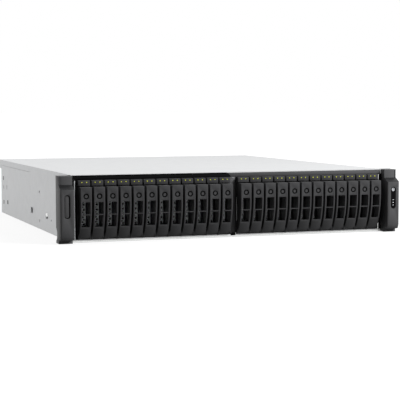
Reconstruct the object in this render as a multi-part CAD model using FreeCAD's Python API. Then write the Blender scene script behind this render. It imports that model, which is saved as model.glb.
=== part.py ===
"""A two-unit rack storage server with twenty-four sliding drive trays.

Lengths are millimetres. X runs to the right seen from the front, Y to the rear and Z up.
The origin is the bottom centre of the whole server. Every function measures Y from the
front edge of the steel body, and export() moves the pieces back by FRONT.
"""
import FreeCAD, Part
import math
import os
from FreeCAD import Vector

# Rack panel and steel body
PANEL_WIDTH = 482.6
PANEL_HEIGHT = 88.0
BODY_DEPTH = 504.0
SHEET = 1.2
BEND_RADIUS = 1.0
SILL_HEIGHT = 3.6

# Sliding rear cover
COVER_SEAM = 262.0
COVER_SKIRT = 9.0
COVER_OVERHANG = 24.0
OVERHANG_SKIRT = 14.0
COVER_GAP = 0.3

# Rack ears
EAR_WIDTH = 18.0
EAR_REACH = 20.4
EAR_STEP = 9.7
EAR_BACK = 9.0
EAR_FLANGE = 2.0
EAR_GAP = 0.3
EAR_BASE = 5.0
EAR_CHIN = 5.6
EAR_CHIN_SET = 2.4
EAR_TOP_BLOCK = 12.0
EAR_SLOPE = 6.0
EAR_EDGE_RADIUS = 1.2
EAR_NOTCH_RADIUS = 9.0
EAR_NOTCH_Z = 11.5
PILL_WIDTH = 7.6
PILL_HEIGHT = 30.5
PILL_DROP = 39.7
PILL_POCKET = 3.0
PILL_FIT = 0.15
LENS_THICK = 2.4

# Power button
BUTTON_RADIUS = 2.3
BUTTON_RISE = 11.45
BUTTON_TRAVEL = 1.2
BUTTON_STOP_GAP = 0.1
BUTTON_FIT = 0.1

# Drive bays
BAY_GAP = 1.0
POST_WIDTH = 9.0
RUN_GAP = 0.3
BAY_SIDE_GAP = 0.3
GUIDE_RIB = 2.0
GUIDE_START = 18.0

# Front frame
BAND_DEPTH = 6.0
BAND_HEIGHT = 5.55
BAND_CHAMFER = 1.2
POST_COVER = 1.2
POST_FACE = 2.0
POST_WRAP = 9.0
POST_GAP = 0.1
TRIM_THICK = 1.2
TRIM_MARGIN = 1.4

# Drive and its tray
DRIVE_THICK = 15.0
DRIVE_LENGTH = 100.45
TRAY_WALL = 0.8
TRAY_RAIL = 1.0
KEEL_WIDTH = 10.0
KEEL_HEIGHT = 2.6
BULKHEAD_THICK = 2.0
DRIVE_SETBACK = 12.0
TRAY_TAIL = 1.5
LED_FACE_Y = -7.0
LED_OVERHANG = 0.5
LED_HEIGHT = 6.95
HINGE_CHEEK = 9.0
HINGE_ROOM = 7.63
HINGE_SIDE_FIT = 0.2

# Tray lever
LEVER_SIDE_GAP = 1.5
LEVER_FRONT = 18.0
LEVER_DROP = 1.2
LEVER_FLAT = 20.8
LEVER_RADIUS = 90.0
LEVER_WALL = 1.8
LEVER_SOLID_TOP = 15.0
PIVOT_Z = 9.0
BARREL_RADIUS = 3.0
BARREL_FIT = 0.1
WINDOW_MARGIN = 2.05
WINDOW_BOTTOM = 21.0
WINDOW_DROP = 19.3
WINDOW_BAR = 1.8

# Side wall features for slide rails, with the slots measured from the rear
RAIL_HOLE_RADIUS = 2.2
RAIL_HOLE_Y = 197.0
RAIL_HOLE_LOW = 12.0
RAIL_HOLE_HIGH = 53.7
HOOK_STARTS = (143.5, 248.0)
HOOK_Z = 19.5
HOOK_HEIGHT = 8.0
HOOK_LENGTH = 10.0
HOOK_RISE = 2.4
SLOT_WIDTH = 3.0
SLOT_HEIGHT = 7.0
SLOT_PLACES = ((18.0, 58.0), (21.0, 44.0), (49.0, 45.0))

# Fans
FAN_HEADROOM = 5.6
FAN_DEPTH = 38.0
FAN_WALL = 1.6
FAN_SPACING = 145.0
FAN_CLEAR = 12.85
FAN_STRUT_COUNT = 3
FAN_STRUT_WIDTH = 4.0
FAN_STRUT_THICK = 2.5
FAN_MOTOR_RADIUS = 15.0
ROTOR_HUB_RADIUS = 16.0
ROTOR_FRONT_GAP = 5.0
ROTOR_REAR_GAP = 0.3
ROTOR_SHAFT_RADIUS = 2.0
ROTOR_SHAFT_FIT = 0.05
ROTOR_SHAFT_LENGTH = 3.0
BLADE_COUNT = 5
BLADE_TIP_GAP = 2.9
BLADE_ROOT_RADIUS = 13.0
BLADE_CHORD = 26.0
BLADE_ANGLE = 50.0
BLADE_THICK = 1.6

# Circuit boards
BOARD_THICK = 1.6
BACKPLANE_THICK = 2.4
BACKPLANE_EDGE = 2.0
CONNECTOR_WIDTH = 6.0
CONNECTOR_HEIGHT = 44.0
CONNECTOR_GAP = 0.3
CONNECTOR_DEPTH = 5.0
BACKPLANE_VENT_WIDTH = 22.0
BACKPLANE_VENT_HEIGHT = 12.0
MAIN_BOARD_CLEAR = 9.5
MAIN_BOARD_GAP = 1.0
STANDOFF_HEIGHT = 6.0
STANDOFF_RADIUS = 3.0
STANDOFF_INSET = 12.0
BRIDGE_HEIGHT = 56.0
BRIDGE_OVERLAP = 12.0
SOCKET_SIZE = 62.0
SOCKET_HEIGHT = 8.0
COOLER_WIDTH = 86.0
COOLER_LENGTH = 112.0
COOLER_HEIGHT = 54.0
COOLER_BASE = 8.0
COOLER_FINS = 15
FIN_THICK = 1.4
COOLER_X = -38.0
COOLER_SETBACK = 60.0
MEMORY_PER_SIDE = 4
MEMORY_PITCH = 10.0
MEMORY_LENGTH = 133.4
MEMORY_HEIGHT = 31.0
MEMORY_THICK = 3.6
MEMORY_SOCKET = 8.0
MEMORY_SOCKET_WIDTH = 6.4
MEMORY_CLEAR = 12.0

# Rear ports: distances from the left wall, outer width and height, mouth width, height and depth
PORT_WALL = 1.0
PORT_FIT = 0.3
LAN_PORTS = (17.8, 35.8)
LAN_SIZE = (15.8, 13.4)
LAN_MOUTH = (11.8, 9.0, 14.0)
FIBRE_PORTS = (59.8, 76.8)
FIBRE_SIZE = (14.8, 10.8)
FIBRE_MOUTH = (13.2, 9.0, 44.0)
USB_PORTS = (99.8, 116.8)
USB_SIZE = (14.4, 7.2)
USB_MOUTH = (12.6, 5.2, 12.0)

# Expansion slots and rear vents
SLOT_COUNT = 4
SLOT_PITCH = 20.32
SLOT_START = 147.8
SLOT_OPEN_WIDTH = 12.0
SLOT_LINTEL = 8.8
SLOT_BOTTOM = 18.0
BLANK_WIDTH = 18.4
BLANK_MARGIN = 4.0
BLANK_THICK = 0.9
VENT_PITCH = 13.0
VENT_WIDTH = 8.0
VENT_HEIGHT = 28.0
VENT_MARGIN = 18.72
VENT_EDGE = 10.0
VENT_ROWS = (14.0, 48.0)

# Power supplies
PSU_WIDTH = 73.5
PSU_HEADROOM = 3.2
PSU_LENGTH = 185.0
PSU_GAP = 0.3
INLET_X = 21.5
INLET_WIDTH = 24.4
INLET_HEIGHT = 17.2
INLET_CHAMFER = 5.0
INLET_DEPTH = 15.0
PSU_FAN_X = -15.5
PSU_FAN_RADIUS = 16.5
PSU_FAN_RECESS = 3.0
LOOP_X = 5.0
LOOP_WIDTH = 5.0
LOOP_MARGIN = 13.0
LOOP_REACH = 20.0
LOOP_BAR = 2.6
LOOP_CORNER = 5.0
LOOP_Z = 5.0
LATCH_WIDTH = 5.0
LATCH_HEIGHT = 5.0
LATCH_REACH = 9.0
LATCH_Z = -15.5

# Worked out from the sizes above
FRONT = (EAR_REACH - BODY_DEPTH - COVER_OVERHANG) / 2
HALF_PANEL = PANEL_WIDTH / 2
EAR_X = HALF_PANEL - EAR_WIDTH
HALF_BODY = EAR_X - EAR_GAP
HALF_INSIDE = HALF_BODY - SHEET
ROOF_UNDER = PANEL_HEIGHT - SHEET
REAR_WALL_TOP = PANEL_HEIGHT - COVER_SKIRT
PILL_X = EAR_X + EAR_WIDTH / 2
PILL_Z = PANEL_HEIGHT - PILL_DROP
BUTTON_Z = PILL_Z + BUTTON_RISE
POCKET_FLOOR = PILL_POCKET - EAR_REACH
TRAY_HALF = DRIVE_THICK / 2 + TRAY_WALL
BAY_PITCH = 2 * TRAY_HALF + BAY_GAP
BAYS_PER_GROUP = int((HALF_INSIDE - SHEET - BAY_SIDE_GAP - POST_WIDTH / 2) // BAY_PITCH)
CAGE_INSIDE = POST_WIDTH / 2 + BAYS_PER_GROUP * BAY_PITCH + BAY_SIDE_GAP
POST_HALF = POST_WIDTH / 2 - BAY_SIDE_GAP
BAY_CEILING = ROOF_UNDER - BAND_HEIGHT
TRAY_BOTTOM = SILL_HEIGHT + RUN_GAP
TRAY_TOP = BAY_CEILING - RUN_GAP
DRIVE_BOTTOM = TRAY_BOTTOM + KEEL_HEIGHT + TRAY_RAIL
DRIVE_TOP = TRAY_TOP - KEEL_HEIGHT - TRAY_RAIL
LEVER_WIDTH = BAY_PITCH - 2 * LEVER_SIDE_GAP
LEVER_TOP = TRAY_TOP - LED_HEIGHT - LEVER_DROP
LEVER_BREAK = LEVER_TOP - LEVER_FLAT
WINDOW_WIDTH = LEVER_WIDTH - 2 * WINDOW_MARGIN
WINDOW_TOP = LEVER_TOP - WINDOW_DROP
ARC_Y = LEVER_RADIUS - LEVER_FRONT
PIVOT_FALL = LEVER_BREAK - PIVOT_Z
PIVOT_REACH = LEVER_RADIUS - BARREL_RADIUS
PIVOT_Y = ARC_Y - math.sqrt(PIVOT_REACH ** 2 - PIVOT_FALL ** 2)
LEVER_BACK = PIVOT_Y + BARREL_RADIUS
BULKHEAD_Y = LEVER_BACK + HINGE_ROOM
DRIVE_FRONT = BULKHEAD_Y + BULKHEAD_THICK + DRIVE_SETBACK
DRIVE_REAR = DRIVE_FRONT + DRIVE_LENGTH
BACKPLANE_Y = DRIVE_REAR + CONNECTOR_GAP + CONNECTOR_DEPTH
FAN_SIZE = ROOF_UNDER - SHEET - FAN_HEADROOM
FAN_Z = SHEET + FAN_SIZE / 2
FAN_FRONT = BACKPLANE_Y + BACKPLANE_THICK + FAN_CLEAR
FAN_REAR = FAN_FRONT + FAN_DEPTH
FAN_BORE_RADIUS = FAN_SIZE / 2 - FAN_WALL
BLADE_TIP_RADIUS = FAN_BORE_RADIUS - BLADE_TIP_GAP
PSU_HEIGHT = (ROOF_UNDER - 2 * SHEET - 4 * PSU_GAP - PSU_HEADROOM) / 2
PSU_X = HALF_INSIDE - PSU_GAP - PSU_WIDTH / 2
PSU_WALL_X = PSU_X - PSU_WIDTH / 2 - PSU_GAP
LOOP_HEIGHT = PSU_HEIGHT - LOOP_MARGIN
BOARD_TOP = SHEET + STANDOFF_HEIGHT + BOARD_THICK
BOARD_RIGHT = PSU_WALL_X - SHEET - MAIN_BOARD_GAP
BOARD_LEFT = MAIN_BOARD_GAP - HALF_INSIDE
BOARD_FRONT = FAN_REAR + FAN_STRUT_THICK + MAIN_BOARD_CLEAR
BOARD_REAR = BODY_DEPTH - SHEET - MAIN_BOARD_GAP
COOLER_Y = BOARD_FRONT + COOLER_SETBACK
SLOT_FIRST_X = SLOT_START - HALF_INSIDE
SLOT_OPEN_HEIGHT = ROOF_UNDER - SLOT_BOTTOM - SLOT_LINTEL
VENT_FIRST_X = SLOT_FIRST_X + SLOT_COUNT * SLOT_PITCH + VENT_MARGIN
VENT_COUNT = int((PSU_WALL_X - SHEET - VENT_EDGE - VENT_FIRST_X) // VENT_PITCH)


def box(xs, ys, zs):
    """A block between two X, two Y and two Z values."""
    return Part.makeBox(xs[1] - xs[0], ys[1] - ys[0], zs[1] - zs[0], Vector(xs[0], ys[0], zs[0]))


def rod(radius, start, direction, length):
    """A round bar from a start point along a direction."""
    return Part.makeCylinder(radius, length, Vector(*start), Vector(*direction))


def mirrored(shape):
    """The same piece on the other side of the server."""
    return shape.mirror(Vector(0, 0, 0), Vector(1, 0, 0))


def polygon(points):
    """A flat face with straight sides through the points."""
    corners = [Vector(*point) for point in points]
    return Part.Face(Part.makePolygon(corners + corners[:1]))


def face_of(edges):
    """A flat face inside edges that follow each other."""
    return Part.Face(Part.Wire(edges))


def line(start, end):
    """A straight edge between two points."""
    return Part.makeLine(start, end)


def arc(centre, radius, start, end):
    """An edge in the YZ plane round a centre, between two angles in degrees."""
    def at(angle):
        turn = math.radians(angle)
        return Vector(0, centre[0] + radius * math.cos(turn), centre[1] + radius * math.sin(turn))
    return Part.Arc(at(start), at((start + end) / 2), at(end)).toShape()


def stadium(width, height, x, y, z):
    """An upright face in the XZ plane with round ends, centred on a point."""
    half = width / 2
    reach = height / 2 - half
    top = Vector(x, y, z + reach)
    low = Vector(x, y, z - reach)
    side = Vector(half, 0, 0)
    cap = Vector(0, 0, half)
    return face_of([
        line(low + side, top + side),
        Part.Arc(top + side, top + cap, top - side).toShape(),
        line(top - side, low - side),
        Part.Arc(low - side, low - cap, low + side).toShape(),
    ])


def along(edge, direction):
    """Whether a straight edge runs along a direction."""
    ends = edge.Vertexes
    if len(ends) != 2:
        return False
    run = ends[1].Point - ends[0].Point
    return run.cross(direction).Length < 1e-6


def export(name, *solids):
    """Write one node, moved so that the origin is the middle of the whole server."""
    shape = solids[0] if len(solids) == 1 else Part.makeCompound(list(solids))
    shape.translated(Vector(0, FRONT, 0)).exportStep(f"parts/{name}.step")


def bay_centres():
    """The X of the twenty-four bays, from left to right."""
    right = [POST_WIDTH / 2 + BAY_PITCH * (index + 0.5) for index in range(BAYS_PER_GROUP)]
    return [-x for x in reversed(right)] + right


def rail_hook(start):
    """A lanced hook on the right wall and the window that it is bent out of."""
    root = start + HOOK_LENGTH + SHEET
    tip = root - HOOK_LENGTH
    window = box((HALF_INSIDE, HALF_BODY), (start, root), (HOOK_Z, HOOK_Z + HOOK_HEIGHT))
    tongue = polygon([
        (HALF_INSIDE, root, HOOK_Z),
        (HALF_BODY, root, HOOK_Z),
        (HALF_BODY + HOOK_RISE, tip, HOOK_Z),
        (HALF_INSIDE + HOOK_RISE, tip, HOOK_Z),
    ])
    return window, tongue.extrude(Vector(0, 0, HOOK_HEIGHT))


def side_openings():
    """Rail holes and slots through the right wall."""
    start = HALF_INSIDE - 1
    end = HALF_BODY + 1
    cuts = []
    for z in (RAIL_HOLE_LOW, RAIL_HOLE_HIGH):
        cuts.append(rod(RAIL_HOLE_RADIUS, (start, RAIL_HOLE_Y, z), (1, 0, 0), end - start))
    for from_rear, z in SLOT_PLACES:
        y = BODY_DEPTH - from_rear
        cuts.append(box((start, end), (y - SLOT_WIDTH / 2, y + SLOT_WIDTH / 2),
                        (z - SLOT_HEIGHT / 2, z + SLOT_HEIGHT / 2)))
    return cuts


def ear_notch():
    """The round relief at the foot of the right ear's rear edge."""
    return rod(EAR_NOTCH_RADIUS, (HALF_BODY, EAR_BACK + SHEET, EAR_NOTCH_Z), (1, 0, 0), EAR_WIDTH + 2)


def rack_flange():
    """The right steel plate behind an ear, above its notch, which bears on the rack's upright."""
    return box((HALF_BODY, HALF_PANEL), (EAR_BACK - EAR_FLANGE, EAR_BACK),
               (EAR_NOTCH_Z + EAR_NOTCH_RADIUS, PANEL_HEIGHT))


def pan_floor():
    """The floor sheet."""
    return box((-HALF_INSIDE, HALF_INSIDE), (0, BODY_DEPTH), (0, SHEET))


def front_sill():
    """The lip folded up along the floor's front edge."""
    return box((-HALF_INSIDE, HALF_INSIDE), (0, SHEET), (SHEET, SILL_HEIGHT))


def side_wall():
    """The right wall with its lower bend, the cover's step and the rail features."""
    wall = box((HALF_INSIDE, HALF_BODY), (0, BODY_DEPTH), (0, ROOF_UNDER))
    bends = [edge for edge in wall.Edges
             if along(edge, Vector(0, 1, 0)) and edge.CenterOfMass.z < SHEET
             and edge.CenterOfMass.x > HALF_BODY - SHEET / 2]
    wall = wall.makeFillet(BEND_RADIUS, bends)
    removed = side_openings()
    removed.append(box((HALF_INSIDE - 1, HALF_BODY + 1), (COVER_SEAM, BODY_DEPTH + 1),
                       (REAR_WALL_TOP, PANEL_HEIGHT)))
    added = []
    for start in HOOK_STARTS:
        window, tongue = rail_hook(start)
        removed.append(window)
        added.append(tongue)
    return wall.cut(removed).fuse(added).removeSplitter()


def front_roof():
    """The fixed roof sheet over the drive cage."""
    return box((-HALF_BODY, HALF_BODY), (0, COVER_SEAM), (ROOF_UNDER, PANEL_HEIGHT))


def port_x(from_wall):
    """The X of a port at a distance from the left wall."""
    return from_wall - HALF_INSIDE


def port_cutout(from_wall, size):
    """The hole in the rear wall round one port."""
    x = port_x(from_wall)
    half = size[0] / 2 + PORT_FIT
    return box((x - half, x + half), (BODY_DEPTH - 2 * SHEET, BODY_DEPTH + 1),
               (BOARD_TOP - PORT_FIT, BOARD_TOP + size[1] + PORT_FIT))


def slot_centres():
    """The X of the expansion slots."""
    return [SLOT_FIRST_X + SLOT_PITCH * index for index in range(SLOT_COUNT)]


def rear_wall():
    """The rear panel, open at the power supplies, ports, slots and vents."""
    top_of_supplies = ROOF_UNDER - SHEET
    wall = polygon([
        (-HALF_INSIDE, BODY_DEPTH, SHEET),
        (PSU_WALL_X, BODY_DEPTH, SHEET),
        (PSU_WALL_X, BODY_DEPTH, top_of_supplies),
        (HALF_INSIDE, BODY_DEPTH, top_of_supplies),
        (HALF_INSIDE, BODY_DEPTH, ROOF_UNDER),
        (-HALF_INSIDE, BODY_DEPTH, ROOF_UNDER),
    ]).extrude(Vector(0, -SHEET, 0))
    through = (BODY_DEPTH - 2 * SHEET, BODY_DEPTH + 1)
    cuts = [port_cutout(place, LAN_SIZE) for place in LAN_PORTS]
    cuts += [port_cutout(place, FIBRE_SIZE) for place in FIBRE_PORTS]
    cuts += [port_cutout(place, USB_SIZE) for place in USB_PORTS]
    for x in slot_centres():
        cuts.append(box((x - SLOT_OPEN_WIDTH / 2, x + SLOT_OPEN_WIDTH / 2), through,
                        (SLOT_BOTTOM, SLOT_BOTTOM + SLOT_OPEN_HEIGHT)))
    for row in VENT_ROWS:
        for index in range(VENT_COUNT):
            x = VENT_FIRST_X + VENT_PITCH * index
            cuts.append(box((x, x + VENT_WIDTH), through, (row, row + VENT_HEIGHT)))
    return wall.cut(cuts)


def slot_blank(x):
    """A blanking plate over one expansion slot, on the inside of the rear wall."""
    inside = BODY_DEPTH - SHEET
    return box((x - BLANK_WIDTH / 2, x + BLANK_WIDTH / 2), (inside - BLANK_THICK, inside),
               (SLOT_BOTTOM - BLANK_MARGIN, SLOT_BOTTOM + SLOT_OPEN_HEIGHT + BLANK_MARGIN))


def supply_bay():
    """The partition beside the power supplies and the shelf between them."""
    front = BODY_DEPTH - PSU_LENGTH
    shelf = SHEET + 2 * PSU_GAP + PSU_HEIGHT
    partition = box((PSU_WALL_X - SHEET, PSU_WALL_X), (front, BODY_DEPTH - SHEET), (SHEET, ROOF_UNDER))
    deck = box((PSU_WALL_X, HALF_INSIDE), (front, BODY_DEPTH), (shelf, shelf + SHEET))
    return partition.fuse(deck)


def cage_side():
    """The right side plate of the drive cage, with its turned-out front flange."""
    inner = CAGE_INSIDE
    return polygon([
        (inner, 0, SILL_HEIGHT),
        (HALF_INSIDE, 0, SILL_HEIGHT),
        (HALF_INSIDE, SHEET, SILL_HEIGHT),
        (inner + SHEET, SHEET, SILL_HEIGHT),
        (inner + SHEET, BACKPLANE_Y, SILL_HEIGHT),
        (inner, BACKPLANE_Y, SILL_HEIGHT),
    ]).extrude(Vector(0, 0, BAY_CEILING - SILL_HEIGHT))


def cage_divider():
    """The folded steel box between the two groups of bays."""
    half = POST_HALF - POST_COVER - POST_GAP
    tube = box((-half, half), (POST_FACE, BACKPLANE_Y), (SILL_HEIGHT, BAY_CEILING))
    return tube.cut(box((SHEET - half, half - SHEET), (POST_FACE + SHEET, BACKPLANE_Y - SHEET),
                        (SILL_HEIGHT - 1, BAY_CEILING + 1)))


def guide_ribs():
    """Ribs on the cage floor between the tray keels."""
    half = (BAY_PITCH - KEEL_WIDTH) / 2 - BAY_SIDE_GAP
    ribs = []
    for side in (-1, 1):
        for index in range(1, BAYS_PER_GROUP):
            x = side * (POST_WIDTH / 2 + BAY_PITCH * index)
            ribs.append(box((x - half, x + half), (GUIDE_START, BACKPLANE_Y),
                            (SILL_HEIGHT, SILL_HEIGHT + GUIDE_RIB)))
    return ribs


def cage_floor():
    """The ribbed plate that the trays run on."""
    reach = CAGE_INSIDE + SHEET
    plate = box((-reach, reach), (SHEET, BACKPLANE_Y), (SHEET, SILL_HEIGHT))
    return plate.fuse(guide_ribs()).removeSplitter()


def cage_ceiling():
    """The plate over the trays."""
    return box((-HALF_INSIDE, HALF_INSIDE), (BAND_DEPTH, BACKPLANE_Y), (BAY_CEILING, BAY_CEILING + SHEET))


def top_band():
    """The dark strip over the bays, chamfered along its upper front edge."""
    return polygon([
        (-HALF_INSIDE, 0, BAY_CEILING),
        (-HALF_INSIDE, BAND_DEPTH, BAY_CEILING),
        (-HALF_INSIDE, BAND_DEPTH, ROOF_UNDER),
        (-HALF_INSIDE, BAND_CHAMFER, ROOF_UNDER),
        (-HALF_INSIDE, 0, ROOF_UNDER - BAND_CHAMFER),
    ]).extrude(Vector(2 * HALF_INSIDE, 0, 0))


def post_cover():
    """The dark channel over the front of the divider."""
    inner = POST_HALF - POST_COVER
    return polygon([
        (-POST_HALF, 0, SILL_HEIGHT),
        (POST_HALF, 0, SILL_HEIGHT),
        (POST_HALF, POST_WRAP, SILL_HEIGHT),
        (inner, POST_WRAP, SILL_HEIGHT),
        (inner, POST_FACE, SILL_HEIGHT),
        (-inner, POST_FACE, SILL_HEIGHT),
        (-inner, POST_WRAP, SILL_HEIGHT),
        (-POST_HALF, POST_WRAP, SILL_HEIGHT),
    ]).extrude(Vector(0, 0, BAY_CEILING - SILL_HEIGHT))


def side_trim():
    """The dark strip between the right ear's steel and the last bay."""
    return box((CAGE_INSIDE, HALF_INSIDE - TRIM_MARGIN), (-TRIM_THICK, 0), (SILL_HEIGHT, BAY_CEILING))


def ear_shell():
    """The right ear: a raised grip between a top block and a base, with a pill pocket."""
    slope_top = PANEL_HEIGHT - EAR_TOP_BLOCK
    rear = EAR_BACK - EAR_FLANGE
    shell = polygon([
        (EAR_X, rear, 0),
        (EAR_X, -EAR_STEP, 0),
        (EAR_X, -EAR_STEP, EAR_BASE),
        (EAR_X, EAR_CHIN_SET - EAR_REACH, EAR_BASE),
        (EAR_X, -EAR_REACH, EAR_BASE + EAR_CHIN),
        (EAR_X, -EAR_REACH, slope_top - EAR_SLOPE),
        (EAR_X, -EAR_STEP, slope_top),
        (EAR_X, -EAR_STEP, PANEL_HEIGHT),
        (EAR_X, rear, PANEL_HEIGHT),
    ]).extrude(Vector(EAR_WIDTH, 0, 0))
    grip_edges = [edge for edge in shell.Edges
                  if along(edge, Vector(0, 0, 1)) and edge.BoundBox.YMax < -EAR_STEP - 1e-3]
    shell = shell.makeFillet(EAR_EDGE_RADIUS, grip_edges)
    pocket = stadium(PILL_WIDTH, PILL_HEIGHT, PILL_X, -EAR_REACH, PILL_Z)
    return shell.cut([ear_notch(), pocket.extrude(Vector(0, PILL_POCKET, 0))])


def power_lens():
    """The dark window on the floor of the right ear's pocket, open for the power button."""
    fit = 2 * PILL_FIT
    plate = stadium(PILL_WIDTH - fit, PILL_HEIGHT - fit, PILL_X, POCKET_FLOOR - LENS_THICK, PILL_Z)
    hole = rod(BUTTON_RADIUS + BUTTON_FIT, (PILL_X, -EAR_REACH, BUTTON_Z), (0, 1, 0), PILL_POCKET)
    return plate.extrude(Vector(0, LENS_THICK, 0)).cut(hole)


def power_button():
    """A round cap in the window's hole, flush with it and short of the pocket's floor."""
    thick = LENS_THICK - BUTTON_TRAVEL - BUTTON_STOP_GAP
    return rod(BUTTON_RADIUS, (PILL_X, POCKET_FLOOR - LENS_THICK, BUTTON_Z), (0, 1, 0), thick)


def cover_roof():
    """The sliding sheet over the rear of the body."""
    return box((-HALF_BODY, HALF_BODY), (COVER_SEAM + COVER_GAP, BODY_DEPTH + COVER_OVERHANG),
               (ROOF_UNDER, PANEL_HEIGHT))


def cover_skirt():
    """The sheet's right skirt, deeper where it hangs over the rear wall."""
    front = COVER_SEAM + COVER_GAP
    step = BODY_DEPTH + COVER_GAP
    rear = BODY_DEPTH + COVER_OVERHANG
    bottom = REAR_WALL_TOP + COVER_GAP
    return polygon([
        (HALF_INSIDE, front, ROOF_UNDER),
        (HALF_INSIDE, front, bottom),
        (HALF_INSIDE, step, bottom),
        (HALF_INSIDE, step, PANEL_HEIGHT - OVERHANG_SKIRT),
        (HALF_INSIDE, rear, PANEL_HEIGHT - OVERHANG_SKIRT),
        (HALF_INSIDE, rear, ROOF_UNDER),
    ]).extrude(Vector(SHEET, 0, 0))


def drive():
    """A solid-state drive on edge."""
    half = DRIVE_THICK / 2
    return box((-half, half), (DRIVE_FRONT, DRIVE_REAR), (DRIVE_BOTTOM, DRIVE_TOP))


def tray_rail():
    """The lower runner under a drive, with its keel."""
    keel = KEEL_WIDTH / 2
    base = TRAY_BOTTOM + KEEL_HEIGHT
    start = BULKHEAD_Y
    return polygon([
        (-keel, start, TRAY_BOTTOM),
        (keel, start, TRAY_BOTTOM),
        (keel, start, base),
        (TRAY_HALF, start, base),
        (TRAY_HALF, start, DRIVE_BOTTOM),
        (-TRAY_HALF, start, DRIVE_BOTTOM),
        (-TRAY_HALF, start, base),
        (-keel, start, base),
    ]).extrude(Vector(0, DRIVE_REAR - TRAY_TAIL - start, 0))


def lever_windows(start, end):
    """The two openings of a lever, as blocks between two Y values."""
    half = WINDOW_WIDTH / 2
    middle = (WINDOW_BOTTOM + WINDOW_TOP) / 2
    return [
        box((-half, half), (start, end), (WINDOW_BOTTOM, middle - WINDOW_BAR / 2)),
        box((-half, half), (start, end), (middle + WINDOW_BAR / 2, WINDOW_TOP)),
    ]


def hinge_seat():
    """Side view of the tray's quarter-round seat behind and under the lever's barrel."""
    reach = BARREL_RADIUS + BARREL_FIT
    return face_of([
        line(Vector(0, PIVOT_Y, PIVOT_Z - reach), Vector(0, PIVOT_Y, TRAY_BOTTOM)),
        line(Vector(0, PIVOT_Y, TRAY_BOTTOM), Vector(0, BULKHEAD_Y, TRAY_BOTTOM)),
        line(Vector(0, BULKHEAD_Y, TRAY_BOTTOM), Vector(0, BULKHEAD_Y, PIVOT_Z)),
        line(Vector(0, BULKHEAD_Y, PIVOT_Z), Vector(0, PIVOT_Y + reach, PIVOT_Z)),
        arc((PIVOT_Y, PIVOT_Z), reach, 360, 270),
    ])


def tray_carrier():
    """Bulkhead, light block, hinge seat and cheeks and the two drive rails, in one piece."""
    bulkhead = box((-TRAY_HALF, TRAY_HALF), (BULKHEAD_Y, BULKHEAD_Y + BULKHEAD_THICK),
                   (TRAY_BOTTOM, TRAY_TOP))
    bulkhead = bulkhead.cut(box((-WINDOW_WIDTH / 2, WINDOW_WIDTH / 2),
                                (BULKHEAD_Y - 1, BULKHEAD_Y + BULKHEAD_THICK + 1),
                                (WINDOW_BOTTOM, WINDOW_TOP)))
    lights_half = LEVER_WIDTH / 2 + LED_OVERHANG
    lights = box((-lights_half, lights_half), (LED_FACE_Y, BULKHEAD_Y), (TRAY_TOP - LED_HEIGHT, TRAY_TOP))
    low = tray_rail()
    middle = (TRAY_BOTTOM + TRAY_TOP) / 2
    high = low.mirror(Vector(0, 0, middle), Vector(0, 0, 1))
    seat = hinge_seat().extrude(Vector(2 * TRAY_HALF, 0, 0)).translated(Vector(-TRAY_HALF, 0, 0))
    cheek = box((LEVER_WIDTH / 2 + HINGE_SIDE_FIT, TRAY_HALF), (PIVOT_Y - BARREL_RADIUS, BULKHEAD_Y),
                (TRAY_BOTTOM, TRAY_BOTTOM + HINGE_CHEEK))
    return bulkhead.fuse([lights, low, high, seat, cheek, mirrored(cheek)]).removeSplitter()


def lever_outline():
    """Side view of a lever: flat top, swept front and a round hinge barrel."""
    fall = 180 + math.degrees(math.asin(PIVOT_FALL / PIVOT_REACH))
    return face_of([
        line(Vector(0, -LEVER_FRONT, LEVER_TOP), Vector(0, LEVER_BACK, LEVER_TOP)),
        line(Vector(0, LEVER_BACK, LEVER_TOP), Vector(0, LEVER_BACK, PIVOT_Z)),
        arc((PIVOT_Y, PIVOT_Z), BARREL_RADIUS, 360, fall),
        arc((ARC_Y, LEVER_BREAK), LEVER_RADIUS, fall, 180),
        line(Vector(0, -LEVER_FRONT, LEVER_BREAK), Vector(0, -LEVER_FRONT, LEVER_TOP)),
    ])


def lever_hollow():
    """Side view of the space inside a lever, open at the back."""
    inner = LEVER_RADIUS - LEVER_WALL
    roof = LEVER_TOP - LEVER_WALL
    open_back = LEVER_BACK + 1

    def skin(z):
        return ARC_Y - math.sqrt(inner ** 2 - (LEVER_BREAK - z) ** 2)

    middle = (LEVER_BREAK + LEVER_SOLID_TOP) / 2
    return polygon([
        (0, LEVER_WALL - LEVER_FRONT, roof),
        (0, open_back, roof),
        (0, open_back, LEVER_SOLID_TOP),
        (0, skin(LEVER_SOLID_TOP), LEVER_SOLID_TOP),
        (0, skin(middle), middle),
        (0, LEVER_WALL - LEVER_FRONT, LEVER_BREAK),
    ])


def lever():
    """A lever moulded as a shell, with its two windows."""
    half = LEVER_WIDTH / 2
    inner = half - LEVER_WALL
    shell = lever_outline().extrude(Vector(LEVER_WIDTH, 0, 0)).translated(Vector(-half, 0, 0))
    room = lever_hollow().extrude(Vector(2 * inner, 0, 0)).translated(Vector(-inner, 0, 0))
    return shell.cut([room] + lever_windows(-LEVER_FRONT - 1, LEVER_BACK))


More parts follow.
